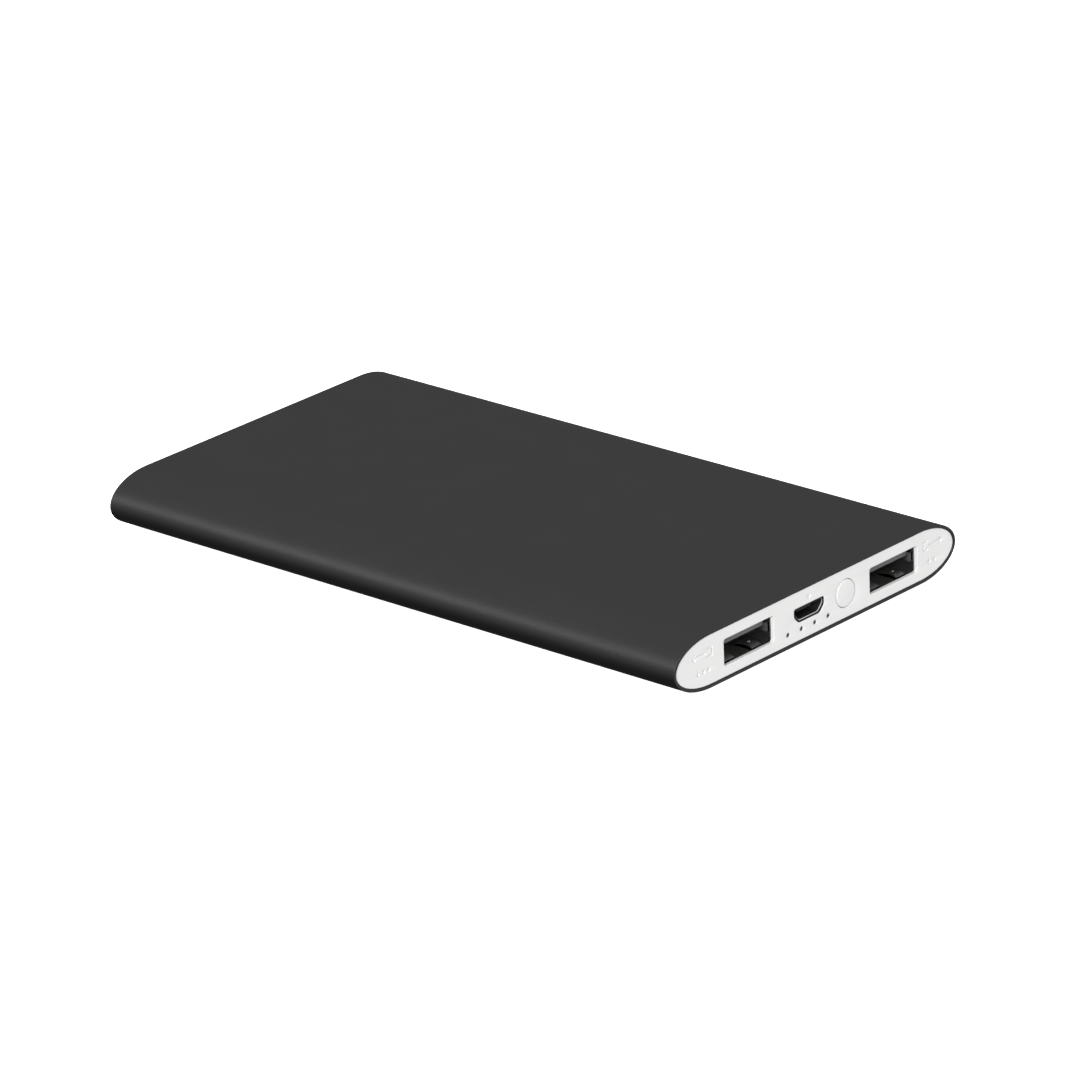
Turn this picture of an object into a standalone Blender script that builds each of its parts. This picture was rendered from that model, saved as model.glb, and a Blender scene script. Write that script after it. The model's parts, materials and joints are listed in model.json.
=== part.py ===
"""A slim power bank with two USB-A outputs and one micro-USB input, as its separate pieces.

Metres, +Z up. The ports face -Y, the long axis is Y and the thin one is Z.
The origin is the middle of the box's bottom face.
"""

import math

import bmesh
import bpy

MM = 0.001
SMOOTH_ANGLE = 35

# Sleeve: an extruded tube with flat faces and elliptical side edges
WIDTH = 71.0 * MM
LENGTH = 124.0 * MM
THICKNESS = 9.6 * MM
EDGE_DEPTH = 9.1 * MM
EDGE_STEPS = 24
WALL = 1.2 * MM
MOUTH_WALL = 0.5 * MM
MOUTH_CHAMFER = 0.15 * MM
FRONT = -LENGTH / 2
REAR = LENGTH / 2
MID = THICKNESS / 2

# End caps and the gaps between pieces
FIT = 0.12 * MM
SEAT_GAP = 0.3 * MM
TOUCH = 0.05 * MM
CAP_THICK = 0.75 * MM
CAP_RECESS = 0.15 * MM
CAP_EDGE = 0.2 * MM
CAP_FRONT = FRONT + CAP_RECESS
CAP_BACK = CAP_FRONT + CAP_THICK
CONNECTOR_FRONT = CAP_BACK + FIT
REAR_CAP_BACK = REAR - CAP_RECESS - CAP_THICK
REAR_PLATE_THICK = 1.2 * MM
REAR_PLATE_BACK = REAR_CAP_BACK - SEAT_GAP
REAR_PLATE_FRONT = REAR_PLATE_BACK - REAR_PLATE_THICK

# Inner frame: a plastic tray that holds the cell and the board
FRAME_HALF_WIDTH = 30.0 * MM
FRAME_HALF_HEIGHT = 2.9 * MM
FRAME_FRONT = FRONT + 2.3 * MM
FRAME_REAR = REAR_PLATE_FRONT - SEAT_GAP
RAIL = 2.6 * MM
BAY_HALF_WIDTH = FRAME_HALF_WIDTH - RAIL
CROSS_WALL_FRONT = FRONT + 25.5 * MM
CROSS_WALL_REAR = CROSS_WALL_FRONT + 2.0 * MM
REAR_WALL = 3.1 * MM
HOOK_Y = FRONT + 5.9 * MM
RAIL_SCREW_X = FRAME_HALF_WIDTH - RAIL / 2

# Cell
CELL_CLEARANCE = 0.4 * MM
CELL_FRONT = CROSS_WALL_REAR + 0.6 * MM
CELL_REAR = FRAME_REAR - REAR_WALL - CELL_CLEARANCE
CELL_HALF_WIDTH = BAY_HALF_WIDTH - CELL_CLEARANCE
TAB_X = 10.0 * MM
TAB_WIDTH = 5.0 * MM
TAB_THICK = 0.2 * MM
PAD_THICK = 0.4 * MM

# Board
BOARD_HALF_WIDTH = BAY_HALF_WIDTH - CELL_CLEARANCE
BOARD_FRONT = CONNECTOR_FRONT + 0.2 * MM
BOARD_REAR = CROSS_WALL_FRONT - 1.5 * MM
BOARD_BOTTOM = MID - 1.85 * MM
BOARD_TOP = BOARD_BOTTOM + 0.8 * MM
ON_BOARD = BOARD_TOP + TOUCH
BOARD_SCREW_X = 25.7 * MM
BOARD_SCREW_Y = BOARD_REAR - 3.0 * MM
BOSS_HALF = 1.5 * MM

# USB-A sockets
USB_A_X = {"usb_a_1": 19.5 * MM, "usb_a_2": -17.0 * MM}
USB_A_Z = MID - 0.1 * MM
USB_A_OPENING = (12.3 * MM, 4.55 * MM)
USB_A_INNER = (12.5 * MM, 5.12 * MM)
USB_A_OUTER = (13.1 * MM, 5.7 * MM)
USB_A_LENGTH = 14.0 * MM
USB_A_BACK = CONNECTOR_FRONT + USB_A_LENGTH
USB_A_BLOCK = 3.2 * MM
TONGUE_WIDTH = 11.1 * MM
TONGUE_THICK = 1.84 * MM
TONGUE_FROM_TOP = 0.6 * MM
TONGUE_SETBACK = 0.7 * MM
CONTACT_X = (-3.5 * MM, -1.0 * MM, 1.0 * MM, 3.5 * MM)
CONTACT_WIDTH = 1.0 * MM
CONTACT_THICK = 0.2 * MM

# Micro-USB socket, wide side up
MICRO_X = -2.0 * MM
MICRO_Z = MID + 0.1 * MM
MICRO_OPENING = (7.6 * MM, 2.6 * MM)
MICRO_OUTER = (7.24 * MM, 2.2 * MM)
MICRO_INNER = (6.92 * MM, 1.85 * MM)
MICRO_CHAMFER = 1.15 * MM
MICRO_FRONT = CAP_FRONT + 0.25 * MM
MICRO_BACK = MICRO_FRONT + 5.7 * MM
MICRO_BLOCK = 0.8 * MM
MICRO_TONGUE = (3.7 * MM, 0.6 * MM)
MICRO_PITCH = 0.65 * MM

# Charge lights, in a row under the micro-USB socket
LED_COUNT = 4
LED_FIRST_X = -7.4 * MM
LED_PITCH = 3.37 * MM
LED_Z = MID - 2.4 * MM
LED_HOLE_R = 0.4 * MM

# Button and its switch
BUTTON_X = 7.2 * MM
BUTTON_R = 2.35 * MM
BUTTON_PROUD = CAP_RECESS
BUTTON_TRAVEL = 0.25 * MM
BUTTON_FLANGE_R = 2.85 * MM
BUTTON_FLANGE = 0.5 * MM
BUTTON_STEM_R = 0.8 * MM
BUTTON_STEM = 0.7 * MM
BUTTON_BACK = CAP_BACK + FIT + BUTTON_FLANGE + BUTTON_STEM
PLUNGER_FRONT = BUTTON_BACK + 0.1 * MM
PLUNGER_BACK = PLUNGER_FRONT + 1.6 * MM
SWITCH_FRONT = PLUNGER_FRONT + 0.6 * MM
SWITCH_POCKET_BACK = SWITCH_FRONT + 1.8 * MM
SWITCH_BACK = SWITCH_FRONT + 2.6 * MM
SWITCH_HALF_WIDTH = 2.0 * MM
SWITCH_TOP = MID + 0.9 * MM

COLOURS = {
    "anodised_shell": ((0.046, 0.046, 0.047), 0.42, 1.0),
    "white_plastic": ((0.80, 0.80, 0.79), 0.45, 0.0),
    "button_plastic": ((0.79, 0.79, 0.79), 0.35, 0.0),
    "frame_plastic": ((0.03, 0.03, 0.03), 0.55, 0.0),
    "rear_plate_plastic": ((0.60, 0.60, 0.58), 0.55, 0.0),
    "port_steel": ((0.62, 0.62, 0.63), 0.28, 1.0),
    "port_dark_steel": ((0.09, 0.09, 0.095), 0.4, 1.0),
    "port_plastic": ((0.02, 0.02, 0.02), 0.5, 0.0),
    "contact_gold": ((0.83, 0.61, 0.28), 0.3, 1.0),
    "circuit_board": ((0.02, 0.09, 0.05), 0.5, 0.0),
    "cell_foil": ((0.58, 0.58, 0.60), 0.4, 1.0),
    "nickel_tab": ((0.66, 0.63, 0.58), 0.35, 1.0),
    "foam": ((0.05, 0.05, 0.05), 0.9, 0.0),
    "screw_steel": ((0.55, 0.55, 0.56), 0.3, 1.0),
    "chip_epoxy": ((0.02, 0.02, 0.022), 0.5, 0.0),
    "capacitor_ceramic": ((0.45, 0.33, 0.22), 0.5, 0.0),
    "led_lens": ((0.85, 0.85, 0.75), 0.3, 0.0),
}


def clear_scene():
    for old in list(bpy.data.objects):
        bpy.data.objects.remove(old)


def material(name):
    """The named material, made the first time that it is asked for."""
    found = bpy.data.materials.get(name)
    if found:
        return found
    colour, roughness, metallic = COLOURS[name]
    made = bpy.data.materials.new(name)
    made.use_nodes = True
    shader = made.node_tree.nodes["Principled BSDF"]
    shader.inputs["Base Color"].default_value = (*colour, 1.0)
    shader.inputs["Roughness"].default_value = roughness
    shader.inputs["Metallic"].default_value = metallic
    return made


def finish_object(name, shape, finish, location=(0.0, 0.0, 0.0)):
    """Turns a bmesh into an object with outward faces, smooth except at sharp edges."""
    bmesh.ops.recalc_face_normals(shape, faces=shape.faces)
    mesh = bpy.data.meshes.new(name)
    shape.to_mesh(mesh)
    shape.free()
    shade(mesh)
    piece = bpy.data.objects.new(name, mesh)
    piece.location = location
    bpy.context.collection.objects.link(piece)
    if finish:
        mesh.materials.append(material(finish))
    return piece


def loft(name, rings, finish, tube=False, location=(0.0, 0.0, 0.0)):
    """Skins rings of points. A tube's last ring meets its first; otherwise both ends are filled."""
    shape = bmesh.new()
    rows = [[shape.verts.new(point) for point in ring] for ring in rings]
    pairs = list(zip(rows, rows[1:]))
    if tube:
        pairs.append((rows[-1], rows[0]))
    else:
        shape.faces.new(rows[0])
        shape.faces.new(rows[-1])
    for near, far in pairs:
        for index in range(len(near)):
            after = (index + 1) % len(near)
            shape.faces.new((near[index], near[after], far[after], far[index]))
    return finish_object(name, shape, finish, location)


def box(name, low, high, finish, bevel=0.0):
    """A block between two corners, with its origin at its centre."""
    centre = [(a + b) / 2 for a, b in zip(low, high)]
    half = [(b - a) / 2 for a, b in zip(low, high)]
    shape = bmesh.new()
    bmesh.ops.create_cube(shape, size=2.0)
    bmesh.ops.scale(shape, vec=half, verts=shape.verts)
    piece = finish_object(name, shape, finish, centre)
    if bevel:
        rounding = piece.modifiers.new("edges", "BEVEL")
        rounding.width = bevel
        rounding.segments = 2
    return piece


def prism(name, outline, axis, start, end, finish, location=(0.0, 0.0, 0.0)):
    """Extrudes a flat outline along X, Y or Z. The outline's pair fills the other two axes in order."""
    rings = []
    for depth in (start, end):
        ring = [list(point) for point in outline]
        for point in ring:
            point.insert("XYZ".index(axis), depth)
        rings.append(ring)
    return loft(name, rings, finish, location=location)


def turned(name, stations, axis, centre, finish, segments=24):
    """A round piece about an axis through centre. Each station is a distance along it and a radius."""
    rings = []
    for distance, radius in stations:
        ring = []
        for step in range(segments):
            angle = 2 * math.pi * step / segments
            point = [radius * math.cos(angle), radius * math.sin(angle)]
            point.insert("XYZ".index(axis), distance)
            ring.append(point)
        rings.append(ring)
    return loft(name, rings, finish, location=centre)


def combine(target, other, operation):
    """Adds a Boolean with a hidden shape to the target."""
    other.hide_render = True
    other.display_type = "WIRE"
    step = target.modifiers.new(other.name, "BOOLEAN")
    step.operation = operation
    step.solver = "EXACT"
    step.object = other


def cut(target, *cutters):
    for cutter in cutters:
        combine(target, cutter, "DIFFERENCE")


def add(target, *shapes):
    for shape in shapes:
        combine(target, shape, "UNION")


def settle(piece):
    """Makes a piece's Booleans permanent, removes their shapes and shades the result again."""
    graph = bpy.context.evaluated_depsgraph_get()
    mesh = bpy.data.meshes.new_from_object(piece.evaluated_get(graph))
    shapes = [step.object for step in piece.modifiers]
    piece.modifiers.clear()
    piece.data = mesh
    for shape in shapes:
        bpy.data.objects.remove(shape)
    shade(mesh)


def shade(mesh):
    """Smooth, except across edges that turn by more than SMOOTH_ANGLE."""
    mesh.shade_smooth()
    mesh.set_sharp_from_angle(angle=math.radians(SMOOTH_ANGLE))


def section(inset, y):
    """The sleeve's pebble section at y, moved inwards by inset."""
    half_flat = WIDTH / 2 - EDGE_DEPTH
    reach = EDGE_DEPTH - inset
    rise = MID - inset
    ring = []
    for side, first in ((1, -90), (-1, 90)):
        for step in range(EDGE_STEPS + 1):
            angle = math.radians(first + 180 * step / EDGE_STEPS)
            ring.append((side * half_flat + reach * math.cos(angle), y, MID + rise * math.sin(angle)))
    return ring


def rounded_rectangle(size, radius, centre=(0.0, 0.0), steps=4):
    """Outline of a rectangle with round corners."""
    width, height = size
    outline = []
    for quarter, (side_x, side_z) in enumerate(((1, 1), (-1, 1), (-1, -1), (1, -1))):
        corner_x = centre[0] + side_x * (width / 2 - radius)
        corner_z = centre[1] + side_z * (height / 2 - radius)
        for step in range(steps + 1):
            angle = math.radians(90 * quarter + 90 * step / steps)
            outline.append((corner_x + radius * math.cos(angle), corner_z + radius * math.sin(angle)))
    return outline


def micro_outline(size, radius, steps=3):
    """Outline of a micro-USB mouth: a rectangle whose two lower corners are cut off slantwise."""
    half_width = size[0] / 2
    half_height = size[1] / 2
    corners = (
        (half_width, half_height),
        (-half_width, half_height),
        (-half_width, -half_height + MICRO_CHAMFER),
        (-half_width + MICRO_CHAMFER, -half_height),
        (half_width - MICRO_CHAMFER, -half_height),
        (half_width, -half_height + MICRO_CHAMFER),
    )
    outline = []
    for index, (x, z) in enumerate(corners):
        before = corners[index - 1]
        after = corners[(index + 1) % len(corners)]
        start = toward((x, z), before, radius)
        end = toward((x, z), after, radius)
        for step in range(steps + 1):
            t = step / steps
            blend = ((1 - t) ** 2, 2 * t * (1 - t), t**2)
            outline.append(tuple(
                blend[0] * start[k] + blend[1] * (x, z)[k] + blend[2] * end[k] for k in (0, 1)
            ))
    return [(MICRO_X + x, MICRO_Z + z) for x, z in outline]


def toward(corner, neighbour, distance):
    """The point that far from a corner, on the way to its neighbour."""
    span = math.dist(corner, neighbour)
    return tuple(a + (b - a) * distance / span for a, b in zip(corner, neighbour))


def square_tube(name, outer, inner, start, end, finish):
    """A tube along Y between two outlines that have the same number of points."""
    stations = ((outer, start), (outer, end), (inner, end), (inner, start))
    rings = [[(x, y, z) for x, z in outline] for outline, y in stations]
    return loft(name, rings, finish, tube=True)


def make_sleeve():
    """The tube, with a thinner wall at each mouth that leaves a ledge for the cap and the plate."""
    front_ledge = CAP_BACK + FIT
    rear_ledge = REAR_PLATE_FRONT - FIT
    stations = (
        (MOUTH_CHAMFER, FRONT),
        (0.0, FRONT + MOUTH_CHAMFER),
        (0.0, REAR - MOUTH_CHAMFER),
        (MOUTH_CHAMFER, REAR),
        (MOUTH_WALL, REAR),
        (MOUTH_WALL, rear_ledge),
        (WALL, rear_ledge),
        (WALL, front_ledge),
        (MOUTH_WALL, front_ledge),
        (MOUTH_WALL, FRONT),
    )
    loft("housing_tube", [section(inset, y) for inset, y in stations], "anodised_shell", tube=True)


def end_plate(name, outer_y, inner_y, finish):
    """A plate that fills a mouth of the sleeve, with a softened outer edge."""
    direction = 1 if inner_y > outer_y else -1
    inset = MOUTH_WALL + FIT
    rings = (
        section(inset + CAP_EDGE, outer_y),
        section(inset, outer_y + direction * CAP_EDGE),
        section(inset, inner_y),
    )
    return loft(name, rings, finish)


def make_front_cap():
    cap = end_plate("front_cap", CAP_FRONT, CAP_BACK, "white_plastic")
    through = (CAP_FRONT - 1.0 * MM, CAP_BACK + 1.0 * MM)
    for port, x in USB_A_X.items():
        outline = rounded_rectangle(USB_A_OPENING, 0.4 * MM, (x, USB_A_Z))
        cut(cap, prism(port + "_mouth_cutter", outline, "Y", *through, None))
    cut(cap, prism("micro_mouth_cutter", micro_outline(MICRO_OPENING, 0.3 * MM), "Y", *through, None))
    reach = ((-2.0 * MM, BUTTON_R + FIT), (2.0 * MM, BUTTON_R + FIT))
    cut(cap, turned("button_cutter", reach, "Y", (BUTTON_X, CAP_FRONT, MID), None, 32))
    reach = ((-2.0 * MM, LED_HOLE_R), (2.0 * MM, LED_HOLE_R))
    for index in range(LED_COUNT):
        centre = (LED_FIRST_X + index * LED_PITCH, CAP_FRONT, LED_Z)
        cut(cap, turned(f"led_hole_cutter_{index + 1}", reach, "Y", centre, None, 16))
    for side, word in ((-1, "left"), (1, "right")):
        lug_x = sorted((side * 30.5 * MM, side * 31.7 * MM))
        hook_x = sorted((side * 29.3 * MM, side * 31.0 * MM))
        lug_low = (lug_x[0], CAP_BACK - 0.3 * MM, MID - 1.6 * MM)
        lug_high = (lug_x[1], HOOK_Y + 0.6 * MM, MID + 1.6 * MM)
        hook_low = (hook_x[0], HOOK_Y - 0.6 * MM, MID - 1.5 * MM)
        hook_high = (hook_x[1], HOOK_Y + 0.5 * MM, MID + 1.5 * MM)
        add(cap, box(f"lug_shape_{word}", lug_low, lug_high, None))
        add(cap, box(f"hook_shape_{word}", hook_low, hook_high, None))
    settle(cap)


def make_rear_end():
    """The glued rear cap, and under it the plate that two screws pull onto the frame."""
    end_plate("rear_cap", REAR - CAP_RECESS, REAR_CAP_BACK, "white_plastic")
    plate = end_plate("rear_plate", REAR_PLATE_BACK, REAR_PLATE_FRONT, "rear_plate_plastic")
    pocket = 0.7 * MM
    head = 0.55 * MM
    for number, side in ((1, -1), (2, 1)):
        seat = (side * RAIL_SCREW_X, REAR_PLATE_BACK, MID)
        hole = ((-3.0 * MM, 0.8 * MM), (1.0 * MM, 0.8 * MM))
        sink = ((-pocket, 1.45 * MM), (1.0 * MM, 1.45 * MM))
        cut(plate, turned(f"plate_hole_cutter_{number}", hole, "Y", seat, None, 16))
        cut(plate, turned(f"plate_sink_cutter_{number}", sink, "Y", seat, None, 20))
        screw(f"rear_plate_screw_{number}", "Y", seat, -pocket + TOUCH, head, 1.2 * MM, -4.6 * MM)
    settle(plate)


def screw(name, axis, place, seat, head_height, head_radius, tip):
    """A small cylinder-head screw. Seat and tip are distances from place along the axis."""
    shank = 0.58 * MM
    point = 0.3 * MM
    rounding = 0.12 * MM
    stations = (
        (tip, shank - point),
        (tip + point, shank),
        (seat, shank),
        (seat, head_radius),
        (seat + head_height - rounding, head_radius),
        (seat + head_height, head_radius - rounding),
    )
    turned(name, stations, axis, place, "screw_steel", 16)


def make_inner_frame():
    low = (-FRAME_HALF_WIDTH, FRAME_FRONT, MID - FRAME_HALF_HEIGHT)
    high = (FRAME_HALF_WIDTH, FRAME_REAR, MID + FRAME_HALF_HEIGHT)
    frame = box("inner_frame", low, high, "frame_plastic")
    below = -1.0 * MM
    above = THICKNESS + 1.0 * MM
    front_bay = box(
        "board_bay_cutter",
        (-BAY_HALF_WIDTH, FRAME_FRONT - 1.0 * MM, below),
        (BAY_HALF_WIDTH, CROSS_WALL_FRONT, above),
        None,
    )
    cell_bay = box(
        "cell_bay_cutter",
        (-BAY_HALF_WIDTH, CROSS_WALL_REAR, below),
        (BAY_HALF_WIDTH, FRAME_REAR - REAR_WALL, above),
        None,
    )
    cut(frame, front_bay, cell_bay)
    for number, side in ((1, -1), (2, 1)):
        make_frame_side(frame, number, side)
    settle(frame)


def make_frame_side(frame, number, side):
    """One side's cell-tab notch, hook notch, screw hole and board boss."""
    tab_low = (side * TAB_X - TAB_WIDTH / 2 - 0.5 * MM, CROSS_WALL_FRONT - 1.0 * MM, MID - 1.4 * MM)
    tab_high = (side * TAB_X + TAB_WIDTH / 2 + 0.5 * MM, CROSS_WALL_REAR + 1.0 * MM, THICKNESS)
    notch_x = sorted((side * 29.0 * MM, side * 32.0 * MM))
    notch_low = (notch_x[0], HOOK_Y - 0.9 * MM, MID - 1.9 * MM)
    notch_high = (notch_x[1], HOOK_Y + 0.9 * MM, MID + 1.9 * MM)
    hole = ((-6.0 * MM, 0.7 * MM), (1.0 * MM, 0.7 * MM))
    rail_end = (side * RAIL_SCREW_X, FRAME_REAR, MID)
    boss_x = sorted((side * (BOARD_SCREW_X - BOSS_HALF), side * (BAY_HALF_WIDTH + 0.4 * MM)))
    boss_low = (boss_x[0], BOARD_SCREW_Y - BOSS_HALF, MID - FRAME_HALF_HEIGHT)
    boss_high = (boss_x[1], BOARD_SCREW_Y + BOSS_HALF, BOARD_BOTTOM - 0.1 * MM)
    pilot = ((-2.0 * MM, 0.7 * MM), (1.0 * MM, 0.7 * MM))
    pilot_top = (side * BOARD_SCREW_X, BOARD_SCREW_Y, BOARD_BOTTOM)
    cut(frame, box(f"tab_notch_cutter_{number}", tab_low, tab_high, None))
    cut(frame, box(f"hook_notch_cutter_{number}", notch_low, notch_high, None))
    cut(frame, turned(f"rail_hole_cutter_{number}", hole, "Y", rail_end, None, 16))
    add(frame, box(f"boss_shape_{number}", boss_low, boss_high, None))
    cut(frame, turned(f"boss_hole_cutter_{number}", pilot, "Z", pilot_top, None, 16))


def make_cell():
    bottom = MID - FRAME_HALF_HEIGHT
    top = MID + FRAME_HALF_HEIGHT
    low = (-CELL_HALF_WIDTH, CELL_FRONT, bottom)
    high = (CELL_HALF_WIDTH, CELL_REAR, top)
    box("battery_cell", low, high, "cell_foil", bevel=1.2 * MM)
    drop = MID - ON_BOARD
    half = TAB_THICK / 2
    lower_path = (
        (CELL_FRONT - TOUCH, MID - half),
        (CROSS_WALL_FRONT + 0.2 * MM, MID - half),
        (CROSS_WALL_FRONT - 0.8 * MM, MID - drop),
        (CROSS_WALL_FRONT - 4.5 * MM, MID - drop),
    )
    upper_path = [(y + 0.08 * MM, z + TAB_THICK) for y, z in lower_path[1:3]]
    outline = [
        *lower_path,
        (lower_path[-1][0], lower_path[-1][1] + TAB_THICK),
        *reversed(upper_path),
        (lower_path[0][0], lower_path[0][1] + TAB_THICK),
    ]
    for word, side in (("positive", -1), ("negative", 1)):
        edges = (side * TAB_X - TAB_WIDTH / 2, side * TAB_X + TAB_WIDTH / 2)
        prism(f"cell_tab_{word}", outline, "X", *edges, "nickel_tab")
    pad_half_width = 20.0 * MM
    for word, z in (("bottom", bottom - FIT - PAD_THICK), ("top", top + FIT)):
        pad_low = (-pad_half_width, -20.0 * MM, z)
        pad_high = (pad_half_width, 40.0 * MM, z + PAD_THICK)
        box(f"foam_pad_{word}", pad_low, pad_high, "foam")


def board_outline():
    """The board's comb outline: deep slots for the USB-A sockets, the right one open at its side,
    and a notch for the button."""
    outline = [
        (BOARD_HALF_WIDTH, BOARD_REAR),
        (-BOARD_HALF_WIDTH, BOARD_REAR),
        (-BOARD_HALF_WIDTH, BOARD_FRONT),
    ]
    slot_half = USB_A_OUTER[0] / 2 + SEAT_GAP
    notches = [(x, slot_half, USB_A_BACK + SEAT_GAP) for x in USB_A_X.values()]
    notches.append((BUTTON_X, BUTTON_FLANGE_R + SEAT_GAP, CAP_BACK + 1.3 * MM))
    for x, half, depth in sorted(notches):
        outline += [(x - half, BOARD_FRONT), (x - half, depth), (x + half, depth), (x + half, BOARD_FRONT)]
    right_slot_depth = outline[-2][1]
    return [*outline[:-2], (BOARD_HALF_WIDTH, right_slot_depth)]


def make_board():
    board = prism("main_board", board_outline(), "Z", BOARD_BOTTOM, BOARD_TOP, "circuit_board")
    for number, side in ((1, -1), (2, 1)):
        place = (side * BOARD_SCREW_X, BOARD_SCREW_Y, BOARD_TOP)
        hole = ((-2.0 * MM, 0.8 * MM), (1.0 * MM, 0.8 * MM))
        cut(board, turned(f"board_hole_cutter_{number}", hole, "Z", place, None, 16))
        screw(f"board_screw_{number}", "Z", place, TOUCH, 0.6 * MM, 1.2 * MM, -2.0 * MM)
    settle(board)


def on_board(name, centre, size, finish, bevel=0.0):
    """A block component that stands on the board."""
    x, y = centre
    width, depth, height = size
    low = (x - width / 2, y - depth / 2, ON_BOARD)
    high = (x + width / 2, y + depth / 2, ON_BOARD + height)
    box(name, low, high, finish, bevel)


def make_components():
    row = BOARD_REAR - 4.3 * MM
    on_board("inductor", (0.0, row), (6.6 * MM, 6.4 * MM, 3.0 * MM), "chip_epoxy", 0.5 * MM)
    on_board("charge_controller", (-17.0 * MM, row), (5.0 * MM, 5.0 * MM, 0.9 * MM), "chip_epoxy")
    on_board("protection_switch", (16.0 * MM, row), (3.0 * MM, 4.4 * MM, 1.1 * MM), "chip_epoxy")
    for number, x in enumerate((-5.4 * MM, 5.4 * MM, 21.0 * MM), start=1):
        on_board(f"capacitor_{number}", (x, row), (1.6 * MM, 3.2 * MM, 1.6 * MM), "capacitor_ceramic")


def make_usb_a(port, x):
    """A USB-A socket: pressed steel shell, moulded block with its tongue, four contacts."""
    outer = rounded_rectangle(USB_A_OUTER, 0.6 * MM, (x, USB_A_Z))
    inner = rounded_rectangle(USB_A_INNER, 0.32 * MM, (x, USB_A_Z))
    square_tube(port + "_shell", outer, inner, CONNECTOR_FRONT, USB_A_BACK, "port_dark_steel")
    block_front = USB_A_BACK - USB_A_BLOCK
    half_width = USB_A_INNER[0] / 2 - 0.1 * MM
    half_height = USB_A_INNER[1] / 2 - 0.1 * MM
    block_low = (x - half_width, block_front, USB_A_Z - half_height)
    block_high = (x + half_width, USB_A_BACK - TOUCH, USB_A_Z + half_height)
    tongue_top = USB_A_Z + USB_A_INNER[1] / 2 - TONGUE_FROM_TOP
    tongue_low = (x - TONGUE_WIDTH / 2, CONNECTOR_FRONT + TONGUE_SETBACK, tongue_top - TONGUE_THICK)
    tongue_high = (x + TONGUE_WIDTH / 2, block_front + 0.5 * MM, tongue_top)
    tongue = box(port + "_tongue", tongue_low, tongue_high, "port_plastic")
    add(tongue, box(port + "_block_shape", block_low, block_high, None))
    settle(tongue)
    contact_top = tongue_low[2] - TOUCH
    for number, offset in enumerate(CONTACT_X, start=1):
        low = (x + offset - CONTACT_WIDTH / 2, tongue_low[1] + 0.5 * MM, contact_top - CONTACT_THICK)
        high = (x + offset + CONTACT_WIDTH / 2, block_front - TOUCH, contact_top)
        box(f"{port}_contact_{number}", low, high, "contact_gold")


def make_micro_usb():
    """The micro-USB socket: shell, moulded tongue on its back block, five contacts."""
    outer = micro_outline(MICRO_OUTER, 0.35 * MM)
    inner = micro_outline(MICRO_INNER, 0.15 * MM)
    square_tube("micro_usb_shell", outer, inner, MICRO_FRONT, MICRO_BACK, "port_steel")
    block_size = (MICRO_INNER[0] - 0.2 * MM, MICRO_INNER[1] - 0.2 * MM)
    block_front = MICRO_BACK - MICRO_BLOCK
    block_outline = micro_outline(block_size, 0.1 * MM)
    tongue = prism("micro_usb_tongue", block_outline, "Y", block_front, MICRO_BACK - TOUCH, "port_plastic")
    tongue_bottom = MICRO_Z - 0.05 * MM
    tongue_low = (MICRO_X - MICRO_TONGUE[0] / 2, MICRO_FRONT + 0.9 * MM, tongue_bottom)
    tongue_high = (MICRO_X + MICRO_TONGUE[0] / 2, block_front + 0.3 * MM, tongue_bottom + MICRO_TONGUE[1])
    add(tongue, box("micro_tongue_shape", tongue_low, tongue_high, None))
    settle(tongue)
    for number in range(1, 6):
        x = MICRO_X + (number - 3) * MICRO_PITCH
        low = (x - 0.2 * MM, tongue_low[1] + 0.3 * MM, tongue_bottom - TOUCH - 0.15 * MM)
        high = (x + 0.2 * MM, block_front - TOUCH, tongue_bottom - TOUCH)
        box(f"micro_usb_contact_{number}", low, high, "contact_gold")


def make_lights():
    """Four lights under the board, behind a black shroud that keeps their beams apart."""
    shroud_back = CONNECTOR_FRONT + 0.8 * MM
    last_x = LED_FIRST_X + (LED_COUNT - 1) * LED_PITCH
    low = (LED_FIRST_X - 1.0 * MM, CONNECTOR_FRONT, LED_Z - 1.0 * MM)
    high = (last_x + 1.0 * MM, shroud_back, BOARD_BOTTOM - TOUCH)
    shroud = box("led_shroud", low, high, "foam")
    reach = ((-1.0 * MM, LED_HOLE_R - TOUCH), (2.0 * MM, LED_HOLE_R - TOUCH))
    for index in range(LED_COUNT):
        x = LED_FIRST_X + index * LED_PITCH
        centre = (x, CONNECTOR_FRONT, LED_Z)
        cut(shroud, turned(f"shroud_hole_cutter_{index + 1}", reach, "Y", centre, None, 16))
        led_low = (x - 0.8 * MM, shroud_back + 0.1 * MM, BOARD_BOTTOM - 0.85 * MM)
        led_high = (x + 0.8 * MM, shroud_back + 0.9 * MM, BOARD_BOTTOM - TOUCH)
        box(f"led_{index + 1}", led_low, led_high, "led_lens")
    settle(shroud)


def make_button():
    """The round button: head, hidden flange and stem. Its origin is on the line that it moves along."""
    head_front = CAP_FRONT - BUTTON_PROUD
    flange_front = CAP_BACK + FIT
    flange_back = flange_front + BUTTON_FLANGE
    rounding = 0.2 * MM
    stations = (
        (head_front, BUTTON_R - rounding),
        (head_front + rounding, BUTTON_R),
        (flange_front, BUTTON_R),
        (flange_front, BUTTON_FLANGE_R),
        (flange_back, BUTTON_FLANGE_R),
        (flange_back, BUTTON_STEM_R),
        (BUTTON_BACK, BUTTON_STEM_R),
    )
    from_cap = [(y - CAP_FRONT, radius) for y, radius in stations]
    turned("button_cap", from_cap, "Y", (BUTTON_X, CAP_FRONT, MID), "button_plastic", 32)


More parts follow.
